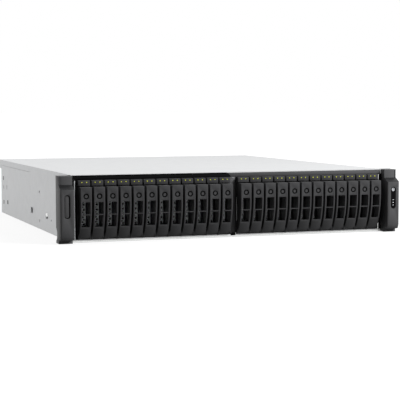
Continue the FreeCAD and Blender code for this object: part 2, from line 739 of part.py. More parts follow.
def fan_frame(x):
    """A square fan housing with a motor seat on struts across its rear."""
    z = FAN_Z
    rear = FAN_REAR
    half = FAN_SIZE / 2
    frame = box((x - half, x + half), (FAN_FRONT, rear), (z - half, z + half))
    frame = frame.cut(rod(FAN_BORE_RADIUS, (x, FAN_FRONT - 1, z), (0, 1, 0), FAN_DEPTH + 2))
    pieces = [rod(FAN_MOTOR_RADIUS, (x, rear, z), (0, 1, 0), FAN_STRUT_THICK)]
    strut = box((x - FAN_STRUT_WIDTH / 2, x + FAN_STRUT_WIDTH / 2), (rear, rear + FAN_STRUT_THICK),
                (z, z + half))
    for index in range(FAN_STRUT_COUNT):
        turn = 360 * index / FAN_STRUT_COUNT
        pieces.append(strut.rotated(Vector(x, rear, z), Vector(0, 1, 0), turn))
    frame = frame.fuse(pieces).removeSplitter()
    return frame.cut(rod(ROTOR_SHAFT_RADIUS + ROTOR_SHAFT_FIT, (x, rear - 1, z), (0, 1, 0),
                         FAN_STRUT_THICK + 2))


def blade_section(x, y, z):
    """The pitched section of a fan blade, flat at one height above the axis."""
    turn = math.radians(BLADE_ANGLE)
    run = Vector(math.sin(turn), math.cos(turn), 0) * (BLADE_CHORD / 2)
    skin = Vector(math.cos(turn), -math.sin(turn), 0) * (BLADE_THICK / 2)
    middle = Vector(x, y, z + BLADE_ROOT_RADIUS)
    return polygon([middle + run + skin, middle + run - skin, middle - run - skin, middle - run + skin])


def fan_rotor(x):
    """A hub with its shaft end and pitched blades."""
    z = FAN_Z
    front = FAN_FRONT + ROTOR_FRONT_GAP
    rear = FAN_REAR - ROTOR_REAR_GAP
    hub = rod(ROTOR_HUB_RADIUS, (x, front, z), (0, 1, 0), rear - front)
    shaft = rod(ROTOR_SHAFT_RADIUS, (x, rear, z), (0, 1, 0), ROTOR_SHAFT_LENGTH)
    middle = (front + rear) / 2
    blade = blade_section(x, middle, z).extrude(Vector(0, 0, BLADE_TIP_RADIUS - BLADE_ROOT_RADIUS))
    blades = []
    for index in range(BLADE_COUNT):
        turn = 360 * index / BLADE_COUNT
        blades.append(blade.rotated(Vector(x, middle, z), Vector(0, 1, 0), turn))
    return hub.fuse([shaft] + blades)


def backplane():
    """The drive backplane with an air slot above each pair of connectors."""
    low = SHEET + BACKPLANE_EDGE
    high = BAY_CEILING + SHEET
    rear = BACKPLANE_Y + BACKPLANE_THICK
    reach = HALF_INSIDE - BACKPLANE_EDGE
    board = box((-reach, reach), (BACKPLANE_Y, rear), (low, high))
    half = BACKPLANE_VENT_WIDTH / 2
    bottom = (DRIVE_BOTTOM + DRIVE_TOP) / 2 + CONNECTOR_HEIGHT / 2 + 1
    vents = []
    for first in bay_centres()[::2]:
        x = first + BAY_PITCH / 2
        vents.append(box((x - half, x + half), (BACKPLANE_Y - 1, rear + 1),
                         (bottom, bottom + BACKPLANE_VENT_HEIGHT)))
    return board.cut(vents)


def drive_connector(x):
    """The socket on the backplane behind one drive."""
    middle = (DRIVE_BOTTOM + DRIVE_TOP) / 2
    return box((x - CONNECTOR_WIDTH / 2, x + CONNECTOR_WIDTH / 2),
               (BACKPLANE_Y - CONNECTOR_DEPTH, BACKPLANE_Y),
               (middle - CONNECTOR_HEIGHT / 2, middle + CONNECTOR_HEIGHT / 2))


def main_board():
    """The main board, cut back beside the power supplies."""
    return box((BOARD_LEFT, BOARD_RIGHT), (BOARD_FRONT, BOARD_REAR),
               (BOARD_TOP - BOARD_THICK, BOARD_TOP))


def standoffs():
    """Six-sided posts that carry the main board on the floor."""
    xs = (BOARD_LEFT + STANDOFF_INSET, (BOARD_LEFT + BOARD_RIGHT) / 2, BOARD_RIGHT - STANDOFF_INSET)
    ys = (BOARD_FRONT + STANDOFF_INSET, BOARD_REAR - STANDOFF_INSET)
    turns = [math.radians(60 * index) for index in range(6)]
    corners = [(STANDOFF_RADIUS * math.cos(turn), STANDOFF_RADIUS * math.sin(turn), SHEET) for turn in turns]
    post = polygon(corners).extrude(Vector(0, 0, STANDOFF_HEIGHT))
    return [post.translated(Vector(x, y, 0)) for x in xs for y in ys]


def bridge_board(x):
    """An upright board that joins the backplane to the main board between two fans."""
    return box((x - BOARD_THICK / 2, x + BOARD_THICK / 2),
               (BACKPLANE_Y + BACKPLANE_THICK, BOARD_FRONT + BRIDGE_OVERLAP),
               (BOARD_TOP, BOARD_TOP + BRIDGE_HEIGHT))


def processor():
    """The processor and its socket."""
    half = SOCKET_SIZE / 2
    y = COOLER_Y + COOLER_LENGTH / 2
    return box((COOLER_X - half, COOLER_X + half), (y - half, y + half),
               (BOARD_TOP, BOARD_TOP + SOCKET_HEIGHT))


def cooler():
    """A finned heat sink on the processor."""
    low = BOARD_TOP + SOCKET_HEIGHT
    left = COOLER_X - COOLER_WIDTH / 2
    pitch = (COOLER_WIDTH - FIN_THICK) / (COOLER_FINS - 1)
    block = box((left, left + COOLER_WIDTH), (COOLER_Y, COOLER_Y + COOLER_LENGTH),
                (low, low + COOLER_HEIGHT))
    gaps = []
    for index in range(COOLER_FINS - 1):
        x = left + pitch * index + FIN_THICK
        gaps.append(box((x, x + pitch - FIN_THICK), (COOLER_Y - 1, COOLER_Y + COOLER_LENGTH + 1),
                        (low + COOLER_BASE, low + COOLER_HEIGHT + 1)))
    return block.cut(gaps)


def memory_pair(x):
    """One memory module and its socket."""
    y = COOLER_Y + COOLER_LENGTH / 2 - MEMORY_LENGTH / 2
    top = BOARD_TOP + MEMORY_SOCKET
    socket = box((x - MEMORY_SOCKET_WIDTH / 2, x + MEMORY_SOCKET_WIDTH / 2), (y, y + MEMORY_LENGTH),
                 (BOARD_TOP, top))
    module = box((x - MEMORY_THICK / 2, x + MEMORY_THICK / 2), (y, y + MEMORY_LENGTH),
                 (top, top + MEMORY_HEIGHT))
    return [socket, module]


def memory_modules():
    """Memory on both sides of the cooler."""
    reach = COOLER_WIDTH / 2 + MEMORY_CLEAR
    pieces = []
    for side in (-1, 1):
        for index in range(MEMORY_PER_SIDE):
            pieces += memory_pair(COOLER_X + side * (reach + MEMORY_PITCH * index))
    return pieces


def port(from_wall, size, mouth):
    """One metal port shell on the main board's rear edge, open to the rear."""
    x = port_x(from_wall)
    half = size[0] / 2
    depth = mouth[2] + PORT_WALL
    shell = box((x - half, x + half), (BODY_DEPTH - depth, BODY_DEPTH), (BOARD_TOP, BOARD_TOP + size[1]))
    bottom = BOARD_TOP + (size[1] - mouth[1]) / 2
    return shell.cut(box((x - mouth[0] / 2, x + mouth[0] / 2), (BODY_DEPTH - mouth[2], BODY_DEPTH + 1),
                         (bottom, bottom + mouth[1])))


def ports():
    """All ports of the main board."""
    shells = [port(place, LAN_SIZE, LAN_MOUTH) for place in LAN_PORTS]
    shells += [port(place, FIBRE_SIZE, FIBRE_MOUTH) for place in FIBRE_PORTS]
    shells += [port(place, USB_SIZE, USB_MOUTH) for place in USB_PORTS]
    return shells


def inlet(z):
    """The mains inlet's cavity, with its two cut corners."""
    x = PSU_X + INLET_X
    half = INLET_WIDTH / 2
    low = z - INLET_HEIGHT / 2
    high = z + INLET_HEIGHT / 2
    return polygon([
        (x - half, BODY_DEPTH, low),
        (x + half, BODY_DEPTH, low),
        (x + half, BODY_DEPTH, high - INLET_CHAMFER),
        (x + half - INLET_CHAMFER, BODY_DEPTH, high),
        (x - half + INLET_CHAMFER, BODY_DEPTH, high),
        (x - half, BODY_DEPTH, high - INLET_CHAMFER),
    ]).extrude(Vector(0, -INLET_DEPTH, 0))


def supply_grille(z):
    """The round air recess of a power supply."""
    return rod(PSU_FAN_RADIUS, (PSU_X + PSU_FAN_X, BODY_DEPTH - PSU_FAN_RECESS, z), (0, 1, 0),
               PSU_FAN_RECESS + 1)


def supply_loop(z):
    """The pull loop of a power supply, round at its two outer corners."""
    left = PSU_X + LOOP_X - LOOP_WIDTH / 2
    low = z + LOOP_Z - LOOP_HEIGHT / 2
    xs = (left, left + LOOP_WIDTH)
    loop = box(xs, (BODY_DEPTH, BODY_DEPTH + LOOP_REACH), (low, low + LOOP_HEIGHT))
    outer = [edge for edge in loop.Edges
             if along(edge, Vector(1, 0, 0)) and edge.CenterOfMass.y > BODY_DEPTH + LOOP_BAR]
    loop = loop.makeFillet(LOOP_CORNER, outer)
    return loop.cut(box((xs[0] - 1, xs[1] + 1), (BODY_DEPTH - 1, BODY_DEPTH + LOOP_REACH - LOOP_BAR),
                        (low + LOOP_BAR, low + LOOP_HEIGHT - LOOP_BAR)))


def supply_latch(z):
    """The release tab under the pull loop."""
    x = PSU_X + LOOP_X
    low = z + LATCH_Z
    return box((x - LATCH_WIDTH / 2, x + LATCH_WIDTH / 2), (BODY_DEPTH, BODY_DEPTH + LATCH_REACH),
               (low, low + LATCH_HEIGHT))


def power_supply(level):
    """One power supply, on the floor (level 0) or on the shelf (level 1)."""
    low = SHEET + PSU_GAP + level * (PSU_HEIGHT + SHEET + 2 * PSU_GAP)
    middle = low + PSU_HEIGHT / 2
    case = box((PSU_X - PSU_WIDTH / 2, PSU_X + PSU_WIDTH / 2), (BODY_DEPTH - PSU_LENGTH, BODY_DEPTH),
               (low, low + PSU_HEIGHT))
    case = case.cut([inlet(middle), supply_grille(middle)])
    return [case, supply_loop(middle), supply_latch(middle)]


def build_trays():
    """One tray and one lever, copied into each bay."""
    tray = Part.makeCompound([tray_carrier(), drive()])
    handle = lever()
    for number, x in enumerate(bay_centres(), start=1):
        place = Vector(x, 0, 0)
        export(f"tray_{number:02d}", tray.translated(place))
        export(f"lever_{number:02d}", handle.translated(place))


def build_body():
    """The steel body, its front mouldings and the cover."""
    blanks = [slot_blank(x) for x in slot_centres()]
    side = cage_side()
    flange = rack_flange()
    cage = [side, mirrored(side), cage_divider(), cage_floor(), cage_ceiling()]
    wall = side_wall()
    pan = [pan_floor(), front_sill(), wall, mirrored(wall)]
    export("chassis_base", *pan, flange, mirrored(flange), front_roof(), rear_wall(), supply_bay(),
           *blanks, *cage)
    trim = side_trim()
    export("front_frame", top_band(), post_cover(), trim, mirrored(trim))
    export("rack_ears", mirrored(ear_shell()), ear_shell(), power_lens())
    export("power_button", power_button())
    skirt = cover_skirt()
    export("top_cover", cover_roof(), skirt, mirrored(skirt))


def build_inside():
    """Boards, fans and power supplies."""
    bridges = [bridge_board(side * FAN_SPACING / 2) for side in (-1, 1)]
    connectors = [drive_connector(x) for x in bay_centres()]
    export("circuit_boards", backplane(), main_board(), processor(), cooler(), *connectors, *bridges,
           *standoffs(), *memory_modules(), *ports())
    places = (-FAN_SPACING, 0, FAN_SPACING)
    export("fan_frames", *[fan_frame(x) for x in places])
    for number, x in enumerate(places, start=1):
        export(f"fan_rotor_{number}", fan_rotor(x))
    export("psu_lower", *power_supply(0))
    export("psu_upper", *power_supply(1))


def main():
    """Write every node to the parts folder."""
    os.makedirs("parts", exist_ok=True)
    build_trays()
    build_body()
    build_inside()


main()
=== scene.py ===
"""The looks of a two-unit rack storage server with twenty-four drive trays.

Sizes in the classes are millimetres: X to the right seen from the front, Y to the rear from the
front edge of the steel body, and Z up from the underside. point() turns them into metres.
"""

import logging
import math
from collections.abc import Callable, Iterator, Sequence
from contextlib import contextmanager
from dataclasses import dataclass
from enum import Enum

import bmesh
import bpy
from mathutils import Euler, Matrix, Vector


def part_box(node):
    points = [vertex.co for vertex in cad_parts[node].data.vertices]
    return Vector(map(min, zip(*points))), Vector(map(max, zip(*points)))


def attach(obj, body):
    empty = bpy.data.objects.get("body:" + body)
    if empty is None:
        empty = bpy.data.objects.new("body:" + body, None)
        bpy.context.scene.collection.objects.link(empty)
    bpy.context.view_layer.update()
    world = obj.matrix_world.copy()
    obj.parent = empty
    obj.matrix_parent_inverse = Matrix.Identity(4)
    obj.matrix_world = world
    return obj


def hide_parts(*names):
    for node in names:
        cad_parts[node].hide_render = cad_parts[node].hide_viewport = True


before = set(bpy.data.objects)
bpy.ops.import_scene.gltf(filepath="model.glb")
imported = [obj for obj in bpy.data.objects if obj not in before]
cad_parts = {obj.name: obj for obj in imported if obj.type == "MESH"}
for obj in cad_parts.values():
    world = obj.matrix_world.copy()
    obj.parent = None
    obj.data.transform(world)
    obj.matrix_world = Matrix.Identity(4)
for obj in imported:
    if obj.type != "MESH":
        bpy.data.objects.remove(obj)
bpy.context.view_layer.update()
MM = 0.001
FRONT_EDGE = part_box("chassis_base")[0].y
ROOT = "chassis"
BAY_COUNT = 24
# A normal or an edge runs along an axis when its share on that axis is more than this
ALONG = 0.9
# How far a cutter passes the face that it opens, in millimetres
CLEAR = 1.0
# A place counts as on a face or an end when it is nearer than this, in millimetres
NEAR = 0.1
# Edges that turn by more degrees than the first are rounded, and by less than the second look smooth
SHARP_TURN = 38.0
SMOOTH_TURN = 32.0
log = logging.getLogger("server")

Point = tuple[float, float, float]
Spot = tuple[float, float]
Piece = bpy.types.Object
Material = bpy.types.Material
Test = Callable[[Vector, Vector], bool]


class Element(Enum):
    """What an edit-mode selection picks."""

    VERTEX = "VERT"
    EDGE = "EDGE"
    FACE = "FACE"


class Axis(Enum):
    """A direction that a round bar runs along."""

    X = (0.0, math.pi / 2, 0.0)
    Y = (-math.pi / 2, 0.0, 0.0)
    Z = (0.0, 0.0, 0.0)


class Side(Enum):
    """The two ends of the server, by the sign of X."""

    LEFT = -1
    RIGHT = 1


# Workbench: small steps that every piece uses


def point(x: float, y: float, z: float) -> Vector:
    """A place in metres from millimetres.

    Args:
        x: distance to the right.
        y: distance behind the body's front edge.
        z: height.

    Returns:
        The place in the model's own frame.
    """
    return Vector((x * MM, FRONT_EDGE + y * MM, z * MM))


def deselect() -> None:
    """Leave nothing selected."""
    for thing in bpy.context.selected_objects:
        thing.select_set(False)


def activate(piece: Piece) -> None:
    """Select one piece alone and make it the active one.

    Args:
        piece: the piece to select.
    """
    deselect()
    piece.select_set(True)
    bpy.context.view_layer.objects.active = piece


def settle() -> Piece:
    """Put the new primitive's place, turn and size into its mesh."""
    bpy.ops.object.transform_apply(location=True, rotation=True, scale=True)
    return bpy.context.active_object


def block(low: Point, high: Point) -> Piece:
    """Add a box between two corners.

    Args:
        low: the lowest corner in millimetres.
        high: the highest corner in millimetres.

    Returns:
        The new box.
    """
    deselect()
    start, end = point(*low), point(*high)
    bpy.ops.mesh.primitive_cube_add(size=1, location=(start + end) / 2, scale=end - start)
    return settle()


def bar(start: Point, axis: Axis, radius: float, length: float, sides: int = 32) -> Piece:
    """Add a round bar that runs along an axis.

    Args:
        start: the middle of its first end in millimetres.
        axis: the way that it runs.
        radius: its radius in millimetres.
        length: its length in millimetres.
        sides: how many flats its round has.

    Returns:
        The new bar.
    """
    deselect()
    way = Euler(axis.value).to_matrix() @ Vector((0, 0, 1))
    middle = point(*start) + way * (length / 2 * MM)
    bpy.ops.mesh.primitive_cylinder_add(vertices=sides, radius=radius * MM, depth=length * MM,
                                        location=middle, rotation=axis.value)
    return settle()


@contextmanager
def editing(piece: Piece) -> Iterator[None]:
    """Hold one piece in edit mode.

    Args:
        piece: the piece to edit.

    Yields:
        Nothing, while the piece is in edit mode.
    """
    activate(piece)
    bpy.ops.object.mode_set(mode="EDIT")
    yield
    bpy.ops.object.mode_set(mode="OBJECT")


def choose(piece: Piece, kind: Element, wanted: Test) -> None:
    """Select the parts of an edited mesh that pass a test.

    Args:
        piece: the piece in edit mode.
        kind: vertices, edges or faces.
        wanted: takes a part's middle in millimetres, as point() does, and its normal or its
            direction for an edge.
    """
    bpy.ops.mesh.select_all(action="DESELECT")
    bpy.ops.mesh.select_mode(type=kind.value)
    mesh = bmesh.from_edit_mesh(piece.data)
    origin = point(0, 0, 0)
    if kind is Element.VERTEX:
        parts = [(vertex, vertex.co, vertex.normal) for vertex in mesh.verts]
    elif kind is Element.EDGE:
        parts = [(edge, (edge.verts[0].co + edge.verts[1].co) / 2,
                  (edge.verts[1].co - edge.verts[0].co).normalized()) for edge in mesh.edges]
    else:
        parts = [(face, face.calc_center_median(), face.normal) for face in mesh.faces]
    for part, middle, way in parts:
        part.select_set(wanted((middle - origin) / MM, way))
    mesh.select_flush_mode()
    bmesh.update_edit_mesh(piece.data)


def modify(piece: Piece, kind: str, **settings: object) -> None:
    """Add a modifier with its settings and apply it.

    Args:
        piece: the piece to change.
        kind: the modifier's type.
        settings: its values.
    """
    activate(piece)
    modifier = piece.modifiers.new(kind.title(), kind)
    for name, value in settings.items():
        setattr(modifier, name, value)
    bpy.ops.object.modifier_apply(modifier=modifier.name)


def join(pieces: Sequence[Piece]) -> Piece:
    """Make one piece of several, each a closed shell in it.

    Args:
        pieces: the pieces, of which the first takes in the others.

    Returns:
        The joined piece.
    """
    activate(pieces[0])
    for piece in pieces:
        piece.select_set(True)
    bpy.ops.object.join()
    return bpy.context.active_object


def carve(piece: Piece, *cutters: Piece) -> Piece:
    """Cut shapes out of a piece in one step and throw the cutters away.

    Args:
        piece: the piece to cut.
        cutters: the shapes to take away.

    Returns:
        The same piece.
    """
    cutter = join(cutters) if len(cutters) > 1 else cutters[0]
    modify(piece, "BOOLEAN", operation="DIFFERENCE", solver="EXACT", object=cutter)
    bpy.data.objects.remove(cutter)
    return piece


def soften(piece: Piece, radius: float, segments: int = 2) -> Piece:
    """Round the sharp edges of a piece and shade the rest smoothly.

    Args:
        piece: the piece to finish.
        radius: the edges' radius in millimetres.
        segments: flats in each round.

    Returns:
        The same piece.
    """
    modify(piece, "BEVEL", width=radius * MM, segments=segments, limit_method="ANGLE",
           angle_limit=math.radians(SHARP_TURN))
    activate(piece)
    bpy.ops.object.shade_smooth_by_angle(angle=math.radians(SMOOTH_TURN))
    return piece


def round_edges(piece: Piece, radius: float, segments: int, wanted: Test) -> Piece:
    """Round only the edges that pass a test.

    Args:
        piece: the piece to change.
        radius: the edges' radius in millimetres.
        segments: flats in each round, or 1 for a plain chamfer.
        wanted: takes an edge's middle in millimetres and its direction.

    Returns:
        The same piece.
    """
    with editing(piece):
        choose(piece, Element.EDGE, wanted)
        bpy.ops.mesh.bevel(offset=radius * MM, segments=segments, affect="EDGES")
    return piece


def pill(x: float, z: float, width: float, height: float, front: float, rear: float) -> Piece:
    """Add an upright block with round ends, seen from the front.

    Args:
        x: its middle to the right.
        z: its middle height.
        width: its width, twice its ends' radius.
        height: its height.
        front: where it starts along Y.
        rear: where it ends along Y.

    Returns:
        The new block.
    """
    half, reach = width / 2, height / 2
    shape = block((x - half, front, z - reach), (x + half, rear, z + reach))
    # A hair less than the full radius, so that the two rounds of an end don't meet
    return round_edges(shape, half * 0.999, segments=10, wanted=lambda middle, way: abs(way.y) > ALONG)


def mirrored(piece: Piece) -> Piece:
    """Turn a piece into its twin on the other side of the server.

    Args:
        piece: the piece to mirror.

    Returns:
        The same piece.
    """
    piece.data.transform(Matrix.Scale(-1, 4, (1, 0, 0)))
    piece.data.flip_normals()
    return piece


def twin(piece: Piece, x: float = 0.0) -> Piece:
    """Copy a piece with a mesh of its own.

    Args:
        piece: the piece to copy.
        x: how far the copy moves to the right, in millimetres.

    Returns:
        The copy.
    """
    copy = piece.copy()
    copy.data = piece.data.copy()
    copy.data.transform(Matrix.Translation((x * MM, 0, 0)))
    bpy.context.scene.collection.objects.link(copy)
    return copy


def fit(piece: Piece, name: str, body: str, finish: Material,
        stands_for: Sequence[str] = ()) -> Piece:
    """Name a finished piece, dress it and set it on the body that carries it.

    Args:
        piece: the finished piece.
        name: its name.
        body: the body that it moves with.
        finish: its material.
        stands_for: the solids that it is shown for.

    Returns:
        The same piece.
    """
    piece.name = name
    piece.data.name = name
    piece.data.materials.clear()
    piece.data.materials.append(finish)
    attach(piece, body)
    if stands_for:
        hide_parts(*stands_for)
    log.info("%s rides on %s", name, body)
    return piece


def dress_faces(piece: Piece, finish: Material, wanted: Test) -> None:
    """Dress the faces of a fitted piece that pass a test in a second finish.

    Args:
        piece: the fitted piece.
        finish: the second material.
        wanted: takes a face's middle in millimetres and its normal.
    """
    piece.data.materials.append(finish)
    piece.active_material_index = len(piece.data.materials) - 1
    with editing(piece):
        choose(piece, Element.FACE, wanted)
        bpy.ops.object.material_slot_assign()


def paint(node: str, finish: Material) -> None:
    """Give a solid of the frame a finish.

    Args:
        node: the solid's name.
        finish: its material.
    """
    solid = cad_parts[node]
    solid.data.materials.clear()
    solid.data.materials.append(finish)
    log.info("%s keeps its solid", node)


# Finishes


def linear(code: str, share: float = 1.0) -> tuple[float, float, float, float]:
    """Turn an sRGB hex colour into linear light.

    Args:
        code: six hex digits.
        share: a factor on the light, for a paler or darker tone.

    Returns:
        Red, green, blue and alpha.
    """
    def channel(start: int) -> float:
        """Read one channel by the sRGB curve.

        Args:
            start: where its two digits start.

        Returns:
            Its light from 0 to 1.
        """
        value = int(code[start:start + 2], 16) / 255
        light = value / 12.92 if value <= 0.04045 else ((value + 0.055) / 1.055) ** 2.4
        return min(light * share, 1.0)
    return channel(0), channel(2), channel(4), 1.0


def add_node(tree: bpy.types.NodeTree, kind: str, settings: dict[str, object] | None = None,
             inputs: dict[str | int, object] | None = None) -> bpy.types.Node:
    """Add a node with its settings and links.

    Args:
        tree: the material's or world's nodes.
        kind: the node's type.
        settings: values of the node itself.
        inputs: a value or another node's output for each input socket.

    Returns:
        The new node.
    """
    node = tree.nodes.new(kind)
    for name, value in (settings or {}).items():
        setattr(node, name, value)
    for socket, value in (inputs or {}).items():
        if isinstance(value, bpy.types.NodeSocket):
            tree.links.new(value, node.inputs[socket])
        else:
            node.inputs[socket].default_value = value
    return node


@dataclass(frozen=True)
class Finish:
    """A finish with one colour, shared by the kinds below."""

    name: str
    colour: str
    roughness: float

    def begin(self) -> tuple[bpy.types.NodeTree, bpy.types.Node, bpy.types.NodeSocket]:
        """Start the material.

        Returns:
            Its nodes, its shader and the piece's own coordinates.
        """
        material = bpy.data.materials.new(self.name)
        material.use_nodes = True
        tree = material.node_tree
        shader = tree.nodes["Principled BSDF"]
        shader.inputs["Base Color"].default_value = linear(self.colour)
        shader.inputs["Roughness"].default_value = self.roughness
        coordinates = add_node(tree, "ShaderNodeTexCoord")
        return tree, shader, coordinates.outputs["Object"]

    def made(self) -> Material:
        """The material that begin() started."""
        return bpy.data.materials[self.name]


@dataclass(frozen=True)
class MouldedPlastic(Finish):
    """ABS moulded in a spark-eroded tool: a fine even grain that breaks up highlights.

    The real grain is near 0.1 mm, too fine to show, so it is drawn several times as coarse.
    """

    grain_mm: float = 0.7
    depth_mm: float = 0.03
    cloud_mm: float = 26.0
    spread: float = 0.07
    gloss_spread: float = 0.06
    bump: float = 0.35
    ior: float = 1.53
    shine: float = 0.12

    def make(self) -> Material:
        """Build the material.

        Returns:
            The new material.
        """
        tree, shader, place = self.begin()
        grain = add_node(tree, "ShaderNodeTexNoise", None,
                         {"Vector": place, "Scale": 1 / (self.grain_mm * MM), "Detail": 3.0})
        cloud = add_node(tree, "ShaderNodeTexNoise", None,
                         {"Vector": place, "Scale": 1 / (self.cloud_mm * MM), "Detail": 2.0})
        tone = add_node(tree, "ShaderNodeMix", {"data_type": "RGBA"},
                        {0: cloud.outputs["Fac"], 6: linear(self.colour, 1 - self.spread),
                         7: linear(self.colour, 1 + self.spread)})
        gloss = add_node(tree, "ShaderNodeMapRange", None,
                         {"Value": grain.outputs["Fac"], "To Min": self.roughness - self.gloss_spread,
                          "To Max": self.roughness + self.gloss_spread})
        bump = add_node(tree, "ShaderNodeBump", None,
                        {"Strength": self.bump, "Distance": self.depth_mm * MM,
                         "Height": grain.outputs["Fac"]})
        tree.links.new(tone.outputs[2], shader.inputs["Base Color"])
        tree.links.new(gloss.outputs["Result"], shader.inputs["Roughness"])
        tree.links.new(bump.outputs["Normal"], shader.inputs["Normal"])
        shader.inputs["IOR"].default_value = self.ior
        shader.inputs["Specular IOR Level"].default_value = self.shine
        return self.made()


@dataclass(frozen=True)
class GlossPlastic(Finish):
    """Polished plastic or lens: a smooth face with a faint orange-peel ripple."""

    ripple_mm: float = 6.0
    depth_mm: float = 0.02
    spread: float = 0.05
    bump: float = 0.1
    ior: float = 1.5
    glow: float = 0.0
    shine: float = 0.5

    def make(self) -> Material:
        """Build the material.

        Returns:
            The new material.
        """
        tree, shader, place = self.begin()
        ripple = add_node(tree, "ShaderNodeTexNoise", None,
                          {"Vector": place, "Scale": 1 / (self.ripple_mm * MM), "Detail": 1.0})
        bump = add_node(tree, "ShaderNodeBump", None,
                        {"Strength": self.bump, "Distance": self.depth_mm * MM,
                         "Height": ripple.outputs["Fac"]})
        tone = add_node(tree, "ShaderNodeMix", {"data_type": "RGBA"},
                        {0: ripple.outputs["Fac"], 6: linear(self.colour, 1 - self.spread),
                         7: linear(self.colour, 1 + self.spread)})
        tree.links.new(tone.outputs[2], shader.inputs["Base Color"])
        tree.links.new(bump.outputs["Normal"], shader.inputs["Normal"])
        shader.inputs["IOR"].default_value = self.ior
        shader.inputs["Specular IOR Level"].default_value = self.shine
        if self.glow:
            shader.inputs["Emission Color"].default_value = linear(self.colour)
            shader.inputs["Emission Strength"].default_value = self.glow
        return self.made()


@dataclass(frozen=True)
class SheetSteel(Finish):
    """Zinc-coated sheet steel: large faint crystals and fine rolling lines along the sheet.

    Real rolling lines are near 0.1 mm, too fine to show, so they are drawn several times as coarse.
    """

    crystal_mm: float = 9.0
    line_mm: float = 0.6
    line_stretch: float = 0.02
    line_share: float = 0.6
    depth_mm: float = 0.01
    bump: float = 0.12
    metallic: float = 0.75
    spread: float = 0.05
    gloss_under: float = 0.05
    gloss_over: float = 0.07

    def make(self) -> Material:
        """Build the material.

        Returns:
            The new material.
        """
        tree, shader, place = self.begin()
        crystals = add_node(tree, "ShaderNodeTexVoronoi", None,
                            {"Vector": place, "Scale": 1 / (self.crystal_mm * MM)})
        stretched = add_node(tree, "ShaderNodeMapping", None,
                             {"Vector": place, "Scale": (1.0, self.line_stretch, 1.0)})
        lines = add_node(tree, "ShaderNodeTexNoise", None,
                         {"Vector": stretched.outputs["Vector"], "Scale": 1 / (self.line_mm * MM),
                          "Detail": 2.0})
        grey = add_node(tree, "ShaderNodeRGBToBW", None, {"Color": crystals.outputs["Color"]})
        blend = add_node(tree, "ShaderNodeMath", {"operation": "MULTIPLY_ADD"},
                         {0: lines.outputs["Fac"], 1: self.line_share, 2: grey.outputs["Val"]})
        tone = add_node(tree, "ShaderNodeMix", {"data_type": "RGBA"},
                        {0: blend.outputs["Value"], 6: linear(self.colour, 1 - self.spread),
                         7: linear(self.colour, 1 + self.spread)})
        gloss = add_node(tree, "ShaderNodeMapRange", None,
                         {"Value": lines.outputs["Fac"], "To Min": self.roughness - self.gloss_under,
                          "To Max": self.roughness + self.gloss_over})
        bump = add_node(tree, "ShaderNodeBump", None,
                        {"Strength": self.bump, "Distance": self.depth_mm * MM,
                         "Height": lines.outputs["Fac"]})
        tree.links.new(tone.outputs[2], shader.inputs["Base Color"])
        tree.links.new(gloss.outputs["Result"], shader.inputs["Roughness"])
        tree.links.new(bump.outputs["Normal"], shader.inputs["Normal"])
        shader.inputs["Metallic"].default_value = self.metallic
        return self.made()


@dataclass(frozen=True)
class SolderMask(Finish):
    """A lacquered circuit board: a glossy green film over a faint net of copper tracks.

    Real tracks are near 0.1 mm, too fine to show, so they are drawn several times as wide.
    """

    track_mm: float = 2.4
    track_share: float = 0.09
    row_shift: float = 0.37
    darker: float = 0.8
    paler: float = 1.7
    depth_mm: float = 0.04
    bump: float = 0.2

    def make(self) -> Material:
        """Build the material.

        Returns:
            The new material.
        """
        tree, shader, place = self.begin()
        tracks = add_node(tree, "ShaderNodeTexBrick", {"offset": self.row_shift},
                          {"Vector": place, "Scale": 1 / (self.track_mm * MM),
                           "Mortar Size": self.track_share, "Color1": linear(self.colour),
                           "Color2": linear(self.colour, self.darker),
                           "Mortar": linear(self.colour, self.paler)})
        bump = add_node(tree, "ShaderNodeBump", None,
                        {"Strength": self.bump, "Distance": self.depth_mm * MM,
                         "Height": tracks.outputs["Fac"]})
        tree.links.new(tracks.outputs["Color"], shader.inputs["Base Color"])
        tree.links.new(bump.outputs["Normal"], shader.inputs["Normal"])
        return self.made()


